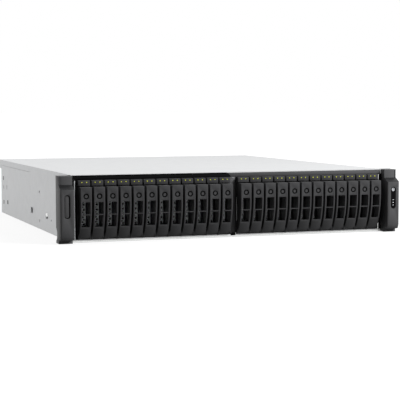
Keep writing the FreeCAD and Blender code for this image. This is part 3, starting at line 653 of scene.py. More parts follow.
@dataclass(frozen=True)
class Finishes:
    """Every finish of the server, made once."""

    steel: Material
    sill_steel: Material
    edge_steel: Material
    mesh_steel: Material
    drive_case: Material
    ear: Material
    slope: Material
    lever: Material
    lining: Material
    release: Material
    tray: Material
    black: Material
    post: Material
    trim: Material
    window: Material
    light: Material
    white: Material
    power: Material
    board: Material
    fan: Material
    supply: Material
    contact: Material
    loop: Material

    @classmethod
    def make(cls) -> "Finishes":
        """Build all materials.

        Returns:
            The server's finishes.
        """
        return cls(
            # Galvanised sheet: pale grey with a soft sheen and hardly visible crystals
            steel=SheetSteel("zinc_coated_steel", "c9cacb", 0.5, spread=0.03).make(),
            # Painted front light: a nearly white copy of the zinc, with half the mirror of bare metal, for
            # the sill's edge and the post's clip
            sill_steel=SheetSteel("bare_zinc_edge", "eeefee", 0.42, metallic=0.5).make(),
            # Painted highlight: a paler, mirror-smooth copy of the steel for thin lips, corner, hem and hook
            # edges, mirroring the white surround
            edge_steel=SheetSteel("burnished_steel_edge", "e6e7e6", 0.25, metallic=1.0, spread=0.02).make(),
            # Punched zinc sheet, painted paler than the body's steel so that its bars look lit inside the
            # dark bays
            mesh_steel=SheetSteel("perforated_zinc_steel", "eceeee", 0.45, crystal_mm=2.0,
                                  metallic=0.28).make(),
            # Anodised aluminium: an even mid grey with a fine satin line
            drive_case=SheetSteel("anodised_aluminium_case", "8d9093", 0.42, crystal_mm=1.5,
                                  line_mm=0.3).make(),
            # Grained ABS: a matt dark grey that pales gently where it turns to the light
            ear=MouldedPlastic("dark_grey_moulded_abs", "404041", 0.46).make(),
            # Painted shade: a darker, slicker copy of the ear's ABS for the upturned slope over the grip
            slope=MouldedPlastic("polished_dark_abs", "1a1a1b", 0.3).make(),
            # Charcoal ABS: near black, with a broad soft highlight down the curve
            lever=MouldedPlastic("charcoal_moulded_abs", "353536", 0.44).make(),
            # Painted fill light: a paler, dull copy of the grey ABS for shaded inner lever walls and the
            # ear's foot
            lining=MouldedPlastic("unpolished_grey_abs", "545455", 0.6).make(),
            # A small charcoal button: a finer grain than the lever round it
            release=MouldedPlastic("charcoal_button_abs", "363637", 0.4, grain_mm=0.4).make(),
            # Graphite ABS: a dull dark grey that sits behind the levers
            tray=MouldedPlastic("graphite_moulded_abs", "333334", 0.5).make(),
            # Black ABS: deep black with next to no highlight
            black=MouldedPlastic("black_moulded_abs", "09090a", 0.42, shine=0.05).make(),
            # Grey ABS: the palest of the mouldings, matt
            post=MouldedPlastic("grey_moulded_abs", "4e4e4f", 0.46).make(),
            # Painted reflection: a satin mid-grey ABS for the band's right half, whose left half is black
            trim=MouldedPlastic("satin_grey_trim_abs", "424243", 0.36).make(),
            # Smoked acrylic: black glass with sharp, faint reflections
            window=GlossPlastic("smoked_acrylic_window", "040405", 0.08, shine=0.06).make(),
            # A lit light pipe: a small yellow-green glow
            light=GlossPlastic("lit_green_light_pipe", "a6a832", 0.3, glow=0.3).make(),
            # A lit light pipe: a small cool white glow
            white=GlossPlastic("lit_white_light_pipe", "d9dcdf", 0.3, glow=0.25).make(),
            # Satin lacquer on a button: a light grey disc on the black window
            power=GlossPlastic("satin_grey_button", "8f9194", 0.4, shine=0.2).make(),
            # Solder mask: glossy green lacquer with paler tracks under it
            board=SolderMask("green_solder_mask", "1d5a38", 0.35).make(),
            # Glass-filled nylon: black with a dull, slightly fibrous sheen
            fan=MouldedPlastic("black_glass_filled_nylon", "1b1b1c", 0.4).make(),
            # Plain steel sheet: a darker, shinier grey than the zinc
            supply=SheetSteel("plain_steel_case", "b4b6b8", 0.38, crystal_mm=5.0).make(),
            # Nickel plate: bright metal with a warm tint
            contact=SheetSteel("nickel_plated_contact", "c9c4b4", 0.25, crystal_mm=1.0,
                               metallic=1.0).make(),
            # Nylon: black and slightly waxy
            loop=MouldedPlastic("black_nylon_handle", "1e1e1f", 0.45).make(),
        )


# Sub-assemblies


@dataclass
class DriveBay:
    """One tray with its drive, light block, perforated grille and curved lever."""

    pitch: float = 17.6
    post: float = 9.0
    tray_half: float = 8.3
    tray_low: float = 3.9
    tray_high: float = 80.95
    bulkhead: float = 7.0
    bulkhead_back: float = 9.0
    rail_end: float = 119.95
    keel_half: float = 5.0
    keel: float = 2.6
    rail: float = 1.0
    cheek_gap: float = 0.2
    cheek_height: float = 9.0
    cheek_back: float = 0.3
    lap: float = 0.5
    tray_edge: float = 0.25
    light_half: float = 7.8
    light_face: float = -7.0
    light_low: float = 74.0
    light_high: float = 80.95
    dot_z: float = 78.5
    dot_apart: float = 6.3
    dot_radius: float = 0.7
    dot_proud: float = 0.25
    dot_length: float = 1.2
    dot_edge: float = 0.2
    drive_half: float = 7.5
    drive_front: float = 21.0
    drive_back: float = 121.45
    panel_rim: float = 4.0
    panel_slope: float = 0.6
    panel_set: float = 0.35
    drive_edge: float = 0.5
    # The connector's half width, depth and half height
    plug: Point = (3.4, 4.0, 22.4)
    # How far the pad stops short at the sides, its thickness, and how far it stops short at the ends
    pad: Point = (0.4, 1.2, 0.6)
    pad_edge: float = 0.3
    lever_half: float = 7.3
    lever_front: float = -18.0
    lever_back: float = -0.63
    lever_top: float = 72.8
    lever_break: float = 52.0
    lever_foot: float = 5.2
    lever_radius: float = 90.0
    lever_wall: float = 1.8
    lever_edge: float = 0.45
    lever_steps: int = 14
    foot_radius: float = 2.1
    hollow_low: float = 15.0
    pivot_y: float = -3.63
    pivot_z: float = 9.0
    barrel: float = 3.0
    barrel_fit: float = 0.1
    window_half: float = 5.25
    window_low: float = 21.0
    window_high: float = 53.5
    window_bar: float = 1.3
    window_corner: float = 0.6
    release_z: float = 61.0
    release_hole: float = 3.75
    release_bore: float = 6.0
    release_radius: float = 2.1
    release_set: float = 0.1
    release_stem: float = 3.5
    release_rim: float = 0.9
    release_dish: float = 0.25
    release_edge: float = 0.2
    latch_gap: float = 0.05
    latch_rim: float = 1.2
    latch_thick: float = 2.4
    latch_well: float = 2.6
    latch_step: float = 0.1
    latch_edge: float = 0.2
    mesh_stagger: float = 1.75
    mesh_row: float = 3.2
    mesh_rows: int = 10
    mesh_low: float = 22.8
    # Where the holes of the first row and of the next one stand, in steps of the stagger
    mesh_columns: tuple[Spot, Spot] = ((-0.5, 1.5), (-1.5, 0.5))
    mesh_hole: float = 1.5
    mesh_bore: float = 4.0
    mesh_gap: float = 0.1
    mesh_set: float = 0.2
    mesh_thick: float = 0.5
    mesh_edge: float = 0.08

    @property
    def drive_low(self) -> float:
        """The underside of the drive, on the tray's lower runner."""
        return self.tray_low + self.keel + self.rail

    @property
    def drive_high(self) -> float:
        """The upper side of the drive, under the tray's upper runner."""
        return self.tray_high - self.keel - self.rail

    def centre(self, number: int) -> float:
        """The X of a bay.

        Args:
            number: the bay, counted from 1 at the left.

        Returns:
            The middle of the bay in millimetres.
        """
        half = BAY_COUNT // 2
        step = number - half - 0.5
        return math.copysign(self.post / 2, step) + self.pitch * step

    def curved(self, half: float, skin: float, top: float, low: float, back: float) -> Piece:
        """A block whose front follows the lever's sweep.

        Args:
            half: half its width.
            skin: how far its front lies behind the lever's front.
            top: its highest Z.
            low: its lowest Z.
            back: its rear Y.

        Returns:
            The new block.
        """
        radius = self.lever_radius - skin
        centre = self.lever_front + self.lever_radius

        def front(z: float) -> float:
            """The Y of the sweep at a height."""
            return centre - math.sqrt(radius ** 2 - (self.lever_break - z) ** 2)

        shape = block((-half, front(self.lever_break), self.lever_break), (half, back, top))
        fall = (self.lever_break - low) / self.lever_steps
        middle_y = (front(low) + back) / 2
        with editing(shape):
            for step in range(self.lever_steps):
                z = self.lever_break - fall * step
                choose(shape, Element.FACE, lambda middle, way: way.z < -ALONG)
                bpy.ops.mesh.extrude_region_move(TRANSFORM_OT_translate={"value": (0, 0, -fall * MM)})
                choose(shape, Element.VERTEX,
                       lambda place, way: place.z < z - fall / 2 and place.y < middle_y)
                bpy.ops.transform.translate(value=(0, (front(z - fall) - front(z)) * MM, 0))
        return shape

    def windows(self) -> list[Piece]:
        """Cutters for the lever's two windows, with small corner radii.

        Returns:
            The lower cutter and the upper one.
        """
        middle = (self.window_low + self.window_high) / 2
        gap = self.window_bar / 2
        cutters = []
        for low, high in ((self.window_low, middle - gap), (middle + gap, self.window_high)):
            cutter = block((-self.window_half, self.lever_front - 2 * CLEAR, low),
                           (self.window_half, self.pivot_y, high))
            cutters.append(round_edges(cutter, self.window_corner, segments=2,
                                       wanted=lambda place, way: abs(way.y) > ALONG))
        return cutters

    def lever(self) -> Piece:
        """The lever: a swept shell with a round foot, two windows and a hole for its release.

        Returns:
            The new piece, at X 0.
        """
        shell = self.curved(self.lever_half, 0, self.lever_top, self.lever_foot, self.lever_back)
        sole = self.lever_foot + NEAR
        round_edges(shell, self.foot_radius, segments=5,
                    wanted=lambda place, way: abs(way.x) > ALONG and place.z < sole)
        hollow = self.curved(self.lever_half - self.lever_wall, self.lever_wall,
                             self.lever_top - self.lever_wall, self.hollow_low, self.lever_back + CLEAR)
        hole = bar((0, self.lever_front - 2 * CLEAR, self.release_z), Axis.Y, self.release_hole,
                   self.release_bore)
        carve(shell, hollow)
        carve(shell, *self.windows())
        carve(shell, hole)
        return soften(shell, self.lever_edge)

    def release(self) -> Piece:
        """The round release button on its stem inside the lever.

        Returns:
            The new piece, at X 0.
        """
        face = self.lever_front + self.release_set
        button = bar((0, face, self.release_z), Axis.Y, self.release_radius, self.release_stem, sides=28)
        with editing(button):
            choose(button, Element.FACE, lambda place, way: way.y < -ALONG)
            bpy.ops.mesh.inset(thickness=self.release_rim * MM, depth=-self.release_dish * MM)
        return soften(button, self.release_edge)

    def latch(self) -> Piece:
        """A black plate behind the release, which closes its hole: painted shade in the groove round the
        button.

        Returns:
            The new piece, at X 0.
        """
        front = self.lever_front + self.lever_wall + self.latch_gap
        reach = self.release_hole + self.latch_rim
        plate = block((-reach, front, self.release_z - reach),
                      (reach, front + self.latch_thick, self.release_z + reach))
        well = bar((0, front - CLEAR, self.release_z), Axis.Y, self.release_hole - self.latch_step,
                   self.latch_well)
        return soften(carve(plate, well), self.latch_edge)

    def grille(self) -> Piece:
        """The perforated plate in the tray's front, with staggered round holes.

        Returns:
            The new piece, at X 0.
        """
        front = self.bulkhead + self.mesh_set
        plate = block((self.mesh_gap - self.window_half, front, self.window_low + self.mesh_gap),
                      (self.window_half - self.mesh_gap, front + self.mesh_thick,
                       self.window_high - self.mesh_gap))
        cutters = []
        for index in range(self.mesh_rows):
            z = self.mesh_low + self.mesh_row * index
            for column in self.mesh_columns[index % 2]:
                cutters.append(bar((column * self.mesh_stagger, self.bulkhead - CLEAR, z), Axis.Y,
                                   self.mesh_hole, self.mesh_bore, sides=14))
        return soften(carve(plate, *cutters), self.mesh_edge, segments=1)

    def lights(self) -> Piece:
        """The two light pipes in the tray's light block.

        Returns:
            The new piece, at X 0.
        """
        face = self.light_face - self.dot_proud
        dots = [bar((side.value * self.dot_apart / 2, face, self.dot_z), Axis.Y, self.dot_radius,
                    self.dot_length, sides=16) for side in Side]
        return soften(join(dots), self.dot_edge)

    def runners(self) -> list[Piece]:
        """The tray's lower and upper runner, each with its keel.

        Returns:
            Each lower part, followed by its twin at the top.
        """
        half, low = self.tray_half, self.tray_low + self.keel
        runner = block((-half, self.bulkhead_back, low), (half, self.rail_end, low + self.rail))
        keel = block((-self.keel_half, self.bulkhead_back, self.tray_low),
                     (self.keel_half, self.rail_end, low))
        lift = Matrix.Translation((0, 0, (self.tray_low + self.tray_high) * MM))
        parts = []
        for part in (runner, keel):
            upper = twin(part)
            upper.data.transform(lift @ Matrix.Scale(-1, 4, (0, 0, 1)))
            upper.data.flip_normals()
            parts += [part, upper]
        return parts

    def carrier(self) -> Piece:
        """The tray: bulkhead, light block, hinge seat with cheeks and two runners.

        Returns:
            The new piece, at X 0.
        """
        half = self.tray_half
        plate = block((-half, self.bulkhead, self.tray_low), (half, self.bulkhead_back, self.tray_high))
        opening = block((-self.window_half, self.bulkhead - CLEAR, self.window_low),
                        (self.window_half, self.bulkhead_back + CLEAR, self.window_high))
        parts = [carve(plate, opening)]
        parts.append(block((-self.light_half, self.light_face, self.light_low),
                           (self.light_half, self.bulkhead, self.light_high)))
        parts += self.runners()
        seat = block((-half, self.pivot_y, self.tray_low), (half, self.bulkhead, self.pivot_z))
        hinge = bar((-half - CLEAR, self.pivot_y, self.pivot_z), Axis.X, self.barrel + self.barrel_fit,
                    2 * (half + CLEAR), sides=40)
        parts.append(carve(seat, hinge))
        inner = self.lever_half + self.cheek_gap
        top = self.tray_low + self.cheek_height
        cheek = block((inner, self.pivot_y - self.barrel, self.tray_low), (half, self.bulkhead, top))
        wall = block((inner, self.lever_back + self.cheek_back, top - self.lap),
                     (half, self.bulkhead + self.lap, self.light_low + self.lap))
        parts += [cheek, wall, mirrored(twin(cheek)), mirrored(twin(wall))]
        return soften(join(parts), self.tray_edge)

    def drive(self) -> Piece:
        """The drive: an aluminium case with a shallow panel on each face and a rear connector.

        Returns:
            The new piece, at X 0.
        """
        case = block((-self.drive_half, self.drive_front, self.drive_low),
                     (self.drive_half, self.drive_back, self.drive_high))
        with editing(case):
            for side in Side:
                choose(case, Element.FACE, lambda place, way: way.x * side.value > ALONG)
                bpy.ops.mesh.inset(thickness=self.panel_rim * MM, depth=0)
                bpy.ops.mesh.inset(thickness=self.panel_slope * MM, depth=-self.panel_set * MM)
        middle = (self.drive_low + self.drive_high) / 2
        half, depth, reach = self.plug
        socket = block((-half, self.drive_back - depth, middle - reach),
                       (half, self.drive_back + CLEAR, middle + reach))
        return soften(carve(case, socket), self.drive_edge)

    def cushion(self) -> Piece:
        """A black pad on the drive's front end, behind the grille: painted shade seen through its holes.

        Returns:
            The new piece, at X 0.
        """
        side, thick, end = self.pad
        pad = block((side - self.drive_half, self.drive_front - thick, self.drive_low + end),
                    (self.drive_half - side, self.drive_front, self.drive_high - end))
        return soften(pad, self.pad_edge)

    def build(self, finishes: Finishes) -> None:
        """Model every piece once and copy it into each bay.

        Args:
            finishes: the server's materials.
        """
        plan = [
            ("lever", self.lever(), "lever", "lever_plastic", finishes.lever),
            ("release", self.release(), "lever", "lever_plastic", finishes.release),
            # Painted shade: a black plate behind the release darkens the groove round it
            ("latch", self.latch(), "lever", "lever_plastic", finishes.black),
            ("carrier", self.carrier(), "tray", "tray_plastic", finishes.tray),
            # The grille's paler steel paints light onto its bars in the bays' shade
            ("grille", self.grille(), "tray", "zinc_steel", finishes.mesh_steel),
            ("lights", self.lights(), "tray", "button_plastic", finishes.light),
            ("drive", self.drive(), "tray", "supply_steel", finishes.drive_case),
            # Painted shade: a black pad behind the grille darkens its holes
            ("cushion", self.cushion(), "tray", "frame_plastic", finishes.black),
        ]
        shown_for = {"lever": "lever", "carrier": "tray"}
        for kind, model, body, slot, finish in plan:
            for number in range(1, BAY_COUNT + 1):
                stands_for = [f"{shown_for[kind]}_{number:02d}"] if kind in shown_for else []
                middle = self.centre(number)
                piece = fit(twin(model, x=middle), f"bay_{number:02d}_{kind}", f"{body}_{number:02d}",
                            finish, stands_for)
                # Painted fill light: the lever's inner side walls take a paler grey that lifts their shade
                if kind == "lever":
                    inside = self.lever_half - self.lever_wall
                    dress_faces(piece, finishes.lining, lambda place, way: abs(way.x) > ALONG
                                and abs(abs(place.x - middle) - inside) < NEAR)
            bpy.data.objects.remove(model)


@dataclass
class RackEar:
    """A rack ear: a raised grip between a top block and a foot, with a pill-shaped recess."""

    inner: float = 223.3
    outer: float = 241.3
    rear: float = 7.0
    step: float = -9.7
    face: float = -20.4
    base: float = 5.0
    chin: float = 10.6
    chin_set: float = 2.4
    slope_top: float = 76.0
    slope_low: float = 70.0
    slope_lift: float = 0.3
    # How far a face of the slope turns up and to the front at least, as shares of its normal
    slope_turn: Spot = (0.3, 0.1)
    # How far its middle lies before the step, over the slope's foot and at most over its head
    slope_margin: Point = (0.6, 0.8, 0.4)
    foot_margin: float = 0.6
    recess_margin: float = 0.4
    top: float = 87.4
    grip_radius: float = 1.3
    shell_edge: float = 0.5
    pill_z: float = 48.3
    pill_width: float = 7.6
    pill_height: float = 30.5
    pill_depth: float = 3.0
    window_set: float = 0.6
    window_gap: float = 0.3
    window_edge: float = 0.25
    button_z: float = 59.75
    button_radius: float = 2.3
    button_face: float = -19.8
    button_thick: float = 1.1
    button_fit: float = 0.12
    button_rim: float = 0.7
    button_groove: float = 0.2
    button_edge: float = 0.15
    notch_radius: float = 9.0
    notch_y: float = 10.2
    notch_z: float = 11.5
    seam_near: float = 1.5
    seam_far: float = 2.2
    seam_depth: float = 0.8
    seam_start: float = 2.0
    plug_set: float = 1.0
    plug_groove: float = 1.15
    plug_shift: float = 0.45
    plug_edge: float = 0.3
    status_z: Point = (45.5, 41.7, 38.0)
    status_radius: float = 0.55
    status_length: float = 0.6
    status_proud: float = 0.12
    status_edge: float = 0.1

    @property
    def middle(self) -> float:
        """The X of the ear's middle line."""
        return (self.inner + self.outer) / 2

    @property
    def floor(self) -> float:
        """The Y of the recess's floor."""
        return self.face + self.pill_depth

    def shell(self) -> Piece:
        """The right ear's moulding.

        Returns:
            The new piece.
        """
        body = block((self.inner, self.step, 0), (self.outer, self.rear, self.top))
        proud = self.step - CLEAR
        fall = self.slope_low + self.slope_lift - self.slope_top
        with editing(body):
            for height in (self.base, self.chin, self.slope_low, self.slope_top):
                bpy.ops.mesh.select_all(action="SELECT")
                bpy.ops.mesh.bisect(plane_co=point(0, 0, height), plane_no=(0, 0, 1))
            choose(body, Element.FACE,
                   lambda place, way: way.y < -ALONG and self.base < place.z < self.slope_top)
            bpy.ops.mesh.extrude_region_move(
                TRANSFORM_OT_translate={"value": (0, (self.face - self.step) * MM, 0)})
            choose(body, Element.VERTEX,
                   lambda place, way: place.y < proud and place.z > self.slope_top - NEAR)
            bpy.ops.transform.translate(value=(0, 0, fall * MM))
            choose(body, Element.VERTEX, lambda place, way: place.y < proud and place.z < self.base + NEAR)
            bpy.ops.transform.translate(value=(0, self.chin_set * MM, 0))
        round_edges(body, self.grip_radius, segments=3,
                    wanted=lambda place, way: abs(way.z) > ALONG and place.y < proud)
        notch = bar((self.inner - 2 * CLEAR, self.notch_y, self.notch_z), Axis.X, self.notch_radius,
                    self.outer - self.inner + 4 * CLEAR, sides=40)
        recess = pill(self.middle, self.pill_z, self.pill_width, self.pill_height,
                      self.face - 2 * CLEAR, self.floor)
        groove = block((self.outer - self.seam_far, self.step - CLEAR,
                        self.slope_low + self.seam_start),
                       (self.outer - self.seam_near, self.step + self.seam_depth, self.top + CLEAR))
        for cutter in (notch, recess, groove):
            carve(body, cutter)
        return soften(body, self.shell_edge)

    def on_slope(self, place: Vector, way: Vector) -> bool:
        """Whether a face of the ear lies on the slope over the grip.

        Args:
            place: the face's middle in millimetres.
            way: its normal.

        Returns:
            True for the slope's faces.
        """
        up, out = self.slope_turn
        before, over_foot, over_head = self.slope_margin
        return (way.z > up and way.y < -out and place.y < self.step - before
                and self.slope_low + over_foot < place.z < self.slope_top + over_head)

    def in_recess(self, place: Vector, way: Vector) -> bool:
        """Whether a face of the ear lies in its pill-shaped recess.

        Args:
            place: the face's middle in millimetres.
            way: its normal, not used.

        Returns:
            True for the recess's faces.
        """
        return (abs(abs(place.x) - self.middle) < self.pill_width / 2 + NEAR
                and abs(place.z - self.pill_z) < self.pill_height / 2 + NEAR
                and self.face + self.recess_margin < place.y < self.floor + NEAR)

    def on_foot(self, place: Vector, way: Vector) -> bool:
        """Whether a face of the ear lies on the front of its foot."""
        return way.y < -ALONG and place.y < self.step + self.foot_margin and place.z < self.base + NEAR

    def plug(self) -> Piece:
        """The blank that fills the left ear's recess, with a groove round it.

        Returns:
            The new piece.
        """
        gap = 2 * self.plug_groove
        blank = pill(self.middle + self.plug_shift, self.pill_z, self.pill_width - gap,
                     self.pill_height - gap, self.face + self.plug_set, self.floor)
        return mirrored(soften(blank, self.plug_edge))

    def window(self) -> Piece:
        """The smoked window in the right ear's recess, open for the power button.

        Returns:
            The new piece.
        """
        plate = pill(self.middle, self.pill_z, self.pill_width - self.window_gap,
                     self.pill_height - self.window_gap, self.face + self.window_set, self.floor)
        hole = bar((self.middle, self.face - CLEAR, self.button_z), Axis.Y,
                   self.button_radius + self.button_fit, self.pill_depth + 2 * CLEAR)
        return soften(carve(plate, hole), self.window_edge)

    def button(self) -> Piece:
        """The power button's cap, with a shallow ring round its middle.

        Returns:
            The new piece.
        """
        cap = bar((self.middle, self.button_face, self.button_z), Axis.Y, self.button_radius,
                  self.button_thick)
        with editing(cap):
            choose(cap, Element.FACE, lambda place, way: way.y < -ALONG)
            bpy.ops.mesh.inset(thickness=self.button_rim * MM, depth=0)
            bpy.ops.mesh.inset(thickness=self.button_groove * MM, depth=-self.button_groove * MM)
        return soften(cap, self.button_edge)

    def status_lights(self) -> Piece:
        """Three small lights under the power button.

        Returns:
            The new piece.
        """
        face = self.face + self.window_set - self.status_proud
        dots = [bar((self.middle, face, z), Axis.Y, self.status_radius, self.status_length, sides=16)
                for z in self.status_z]
        return soften(join(dots), self.status_edge)

    def build(self, finishes: Finishes) -> None:
        """Model the right ear, mirror it for the left one and dress both.

        Args:
            finishes: the server's materials.
        """
        right = self.shell()
        left = mirrored(twin(right))
        fit(right, "ear_right", ROOT, finishes.ear, ["rack_ears"])
        fit(left, "ear_left", ROOT, finishes.ear, ["rack_ears"])
        for ear in (right, left):
            # Painted shade: the slope over the grip takes a darker copy of the ear's ABS
            dress_faces(ear, finishes.slope, self.on_slope)
            # Painted shade: the walls and floor of the pill recess are dressed black
            dress_faces(ear, finishes.black, self.in_recess)
            # Painted fill light: the front of the foot, shaded by the chin, takes a paler grey
            dress_faces(ear, finishes.lining, self.on_foot)
        fit(self.plug(), "ear_plug", ROOT, finishes.ear)
        fit(self.window(), "ear_window", ROOT, finishes.window, ["rack_ears"])
        fit(self.status_lights(), "status_lights", ROOT, finishes.white)
        fit(self.button(), "power_button_cap", "button", finishes.power, ["power_button"])


@dataclass
class FrontFrame:
    """The trim round the bays: band, post cover, side trims, wall lips and the sill's hem."""

    half: float = 221.8
    depth: float = 6.0
    low: float = 81.25
    high: float = 86.8
    chamfer: float = 1.2
    post_half: float = 4.2
    post_inner: float = 3.0
    post_wrap: float = 9.0
    post_face: float = 2.0
    post_edge: float = 0.5
    sill: float = 3.6
    seam: float = 3.4
    seam_up: float = 2.0
    seam_slant: float = 0.9
    trim_inner: float = 216.0
    trim_outer: float = 222.9
    trim_thick: float = 1.2
    trim_edge: float = 0.3
    lip_inner: float = 217.8
    lip_top: float = 80.5
    lip_thick: float = 0.3
    lip_edge: float = 0.12
    left_lip_width: float = 1.2
    right_lip_set: float = 0.2
    right_lip_width: float = 1.4
    right_lip_height: float = 7.5
    corner_width: float = 3.6
    corner_height: float = 9.0
    corner_thick: float = 1.8
    corner_lean: float = 3.4
    corner_lap: float = 0.3
    hem_low: float = 0.3
    hem_step: float = 1.9
    hem_under: float = 0.45
    hem_proud: float = 0.2
    hem_root: float = 0.1
    hem_edge: float = 0.08
    brow_proud: float = 0.25
    brow_root: float = 0.3
    brow_rise: float = 0.5
    brow_end: float = 5.0
    # The lowest and highest corners of the clip, the arch in it, the post's foot and the tab at its head
    clip: tuple[Point, Point] = ((-4.9, -0.7, 1.9), (5.4, 0.3, 6.0))
    arch: tuple[Point, Point] = ((-3.0, -2.0, 0.0), (3.9, 2.0, 7.0))
    foot: tuple[Point, Point] = ((-2.9, -1.2, 1.9), (3.8, 0.0, 5.6))
    tab: tuple[Point, Point] = ((-0.8, -0.45, 79.8), (1.8, 0.3, 80.9))
    clip_edge: float = 0.2
    foot_arch: float = 1.6
    nub: Point = (-227.0, 1.0, 87.0)
    nub_radius: float = 0.99
    nub_length: float = 5.2

    def band(self) -> Piece:
        """The band, chamfered along its upper front edge.

        Returns:
            The new strip.
        """
        strip = block((-self.half, 0, self.low), (self.half, self.depth, self.high))
        return round_edges(strip, self.chamfer, segments=1, wanted=lambda place, way: abs(way.x) > ALONG
                           and place.y < NEAR and place.z > self.high - NEAR)

    def halves(self) -> list[Piece]:
        """The band in two halves, parted on a slant over the post, where the painted reflection turns from
        black to grey.

        Returns:
            The left trim and the right one.
        """
        parts = []
        slant = Vector((1.0, 0.0, self.seam_slant)).normalized()
        for inner in (False, True):
            strip = self.band()
            with editing(strip):
                bpy.ops.mesh.select_all(action="SELECT")
                bpy.ops.mesh.bisect(plane_co=point(-self.seam, 0, self.low + self.seam_up), plane_no=slant,
                                    use_fill=True, clear_inner=inner, clear_outer=not inner)
            parts.append(soften(strip, self.trim_edge))
        return parts

    def post(self) -> Piece:
        """The channel over the front of the divider.

        Returns:
            The new piece.
        """
        cover = block((-self.post_half, 0, self.sill), (self.post_half, self.post_wrap, self.low))
        room = block((-self.post_inner, self.post_face, self.sill - CLEAR),
                     (self.post_inner, self.post_wrap + CLEAR, self.low + CLEAR))
        return soften(carve(cover, room), self.post_edge)

    def trim(self) -> Piece:
        """The dark strip between an ear's steel and the bay beside it, made for the right side."""
        strip = block((self.trim_inner, -self.trim_thick, self.sill), (self.trim_outer, 0, self.low))
        return soften(strip, self.trim_edge)

    def foot_clip(self) -> Piece:
        """The bright clip at the foot of the post."""
        return soften(carve(block(*self.clip), block(*self.arch)), self.clip_edge)

    def shoe(self) -> Piece:
        """The dark arched foot of the post, in the clip.

        Returns:
            The new piece.
        """
        top = self.foot[1][2] - NEAR
        shape = round_edges(block(*self.foot), self.foot_arch, segments=4,
                            wanted=lambda place, way: abs(way.y) > ALONG and place.z > top)
        return soften(shape, self.trim_edge)

    def head_tab(self) -> Piece:
        """The bright tab at the head of the post."""
        return soften(block(*self.tab), self.clip_edge)

    def lip(self, inner: float, width: float, low: float) -> Piece:
        """The folded edge of the steel wall beside an ear, made for the right side; its finish paints it
        lighter or darker than the wall.

        Args:
            inner: its X towards the bays.
            width: how far it reaches towards the ear.
            low: its lowest Z.

        Returns:
            The new strip.
        """
        strip = block((inner, -self.trim_thick - self.lip_thick, low),
                      (inner + width, -self.trim_thick, self.lip_top))
        return soften(strip, self.lip_edge)

    def corner(self) -> Piece:
        """The folded corner where the sill meets the right wall, made bright by a painted highlight.

        Returns:
            The new piece.
        """
        left, top = self.lip_inner - self.corner_width, self.sill + self.corner_height
        wedge = block((left, -self.trim_thick - self.corner_thick, self.sill),
                      (self.lip_inner + self.corner_lap, -self.trim_thick, top))
        with editing(wedge):
            choose(wedge, Element.VERTEX, lambda place, way: place.x < left + NEAR and place.z > top - NEAR)
            bpy.ops.transform.translate(value=(self.corner_lean * MM, 0, 0))
        return soften(wedge, self.lip_edge)

    def hem(self, low: float, high: float) -> Piece:
        """A strip of the hem along the front of the sill, between two heights."""
        strip = block((-self.half, -self.hem_proud, low), (self.half, self.hem_root, high))
        return soften(strip, self.hem_edge, segments=1)

    def brow(self) -> Piece:
        """The thin edge of the left trim over the roof's front edge.

        Returns:
            The new strip.
        """
        edge = block((-self.half, -self.brow_proud, self.high - self.brow_root),
                     (-self.seam - self.brow_end, 0, self.high + self.brow_rise))
        return soften(edge, self.hem_edge, segments=1)

    def hook(self) -> Piece:
        """The round nub that ends the band beside the left ear."""
        return soften(bar(self.nub, Axis.X, self.nub_radius, self.nub_length, sides=20), self.trim_edge)

    def build(self, finishes: Finishes) -> None:
        """Model and dress the trim.

        Args:
            finishes: the server's materials.
        """
        left, right = self.halves()
        post = self.post()
        trim = self.trim()
        left_trim = mirrored(twin(trim))
        left_lip = mirrored(self.lip(self.lip_inner, self.left_lip_width, self.sill))
        right_lip = self.lip(self.lip_inner + self.right_lip_set, self.right_lip_width,
                             self.lip_top - self.right_lip_height)
        corner = self.corner()
        # Painted light: the sill's front takes a painted highlight below and painted front light above
        hem = self.hem(self.hem_low, self.hem_step)
        edge = self.hem(self.hem_step, self.sill - self.hem_under)
        shown_for = ["front_frame"]
        for piece, name, slot, finish, stands_for in (
                # Painted reflection: the band's left half is black and its right half grey, split on a slant
                (left, "band_left", "frame_plastic", finishes.black, shown_for),
                (right, "band_right", "frame_plastic", finishes.trim, shown_for),
                (post, "post_cover", "frame_plastic", finishes.post, shown_for),
                (left_trim, "side_trim_left", "frame_plastic", finishes.black, shown_for),
                (trim, "side_trim_right", "frame_plastic", finishes.black, shown_for),
                # Painted shade: the left lip takes the darker plain steel, for the shadow of the ear beside
                # it
                (left_lip, "wall_lip_left", "zinc_steel", finishes.supply, []),
                # Painted highlight: the right lip, corner and hem take the paler mirror steel
                (right_lip, "wall_lip_right", "zinc_steel", finishes.edge_steel, []),
                (corner, "wall_corner_right", "zinc_steel", finishes.edge_steel, []),
                (hem, "sill_hem", "zinc_steel", finishes.edge_steel, []),
                (edge, "sill_edge", "zinc_steel", finishes.sill_steel, []),
                (self.brow(), "band_brow", "frame_plastic", finishes.black, []),
                (self.shoe(), "post_shoe", "frame_plastic", finishes.black, []),
                (self.foot_clip(), "post_foot_clip", "zinc_steel", finishes.sill_steel, []),
                (self.head_tab(), "post_head_tab", "zinc_steel", finishes.drive_case, []),
                (self.hook(), "band_hook", "frame_plastic", finishes.black, [])):
            fit(piece, name, ROOT, finish, stands_for)


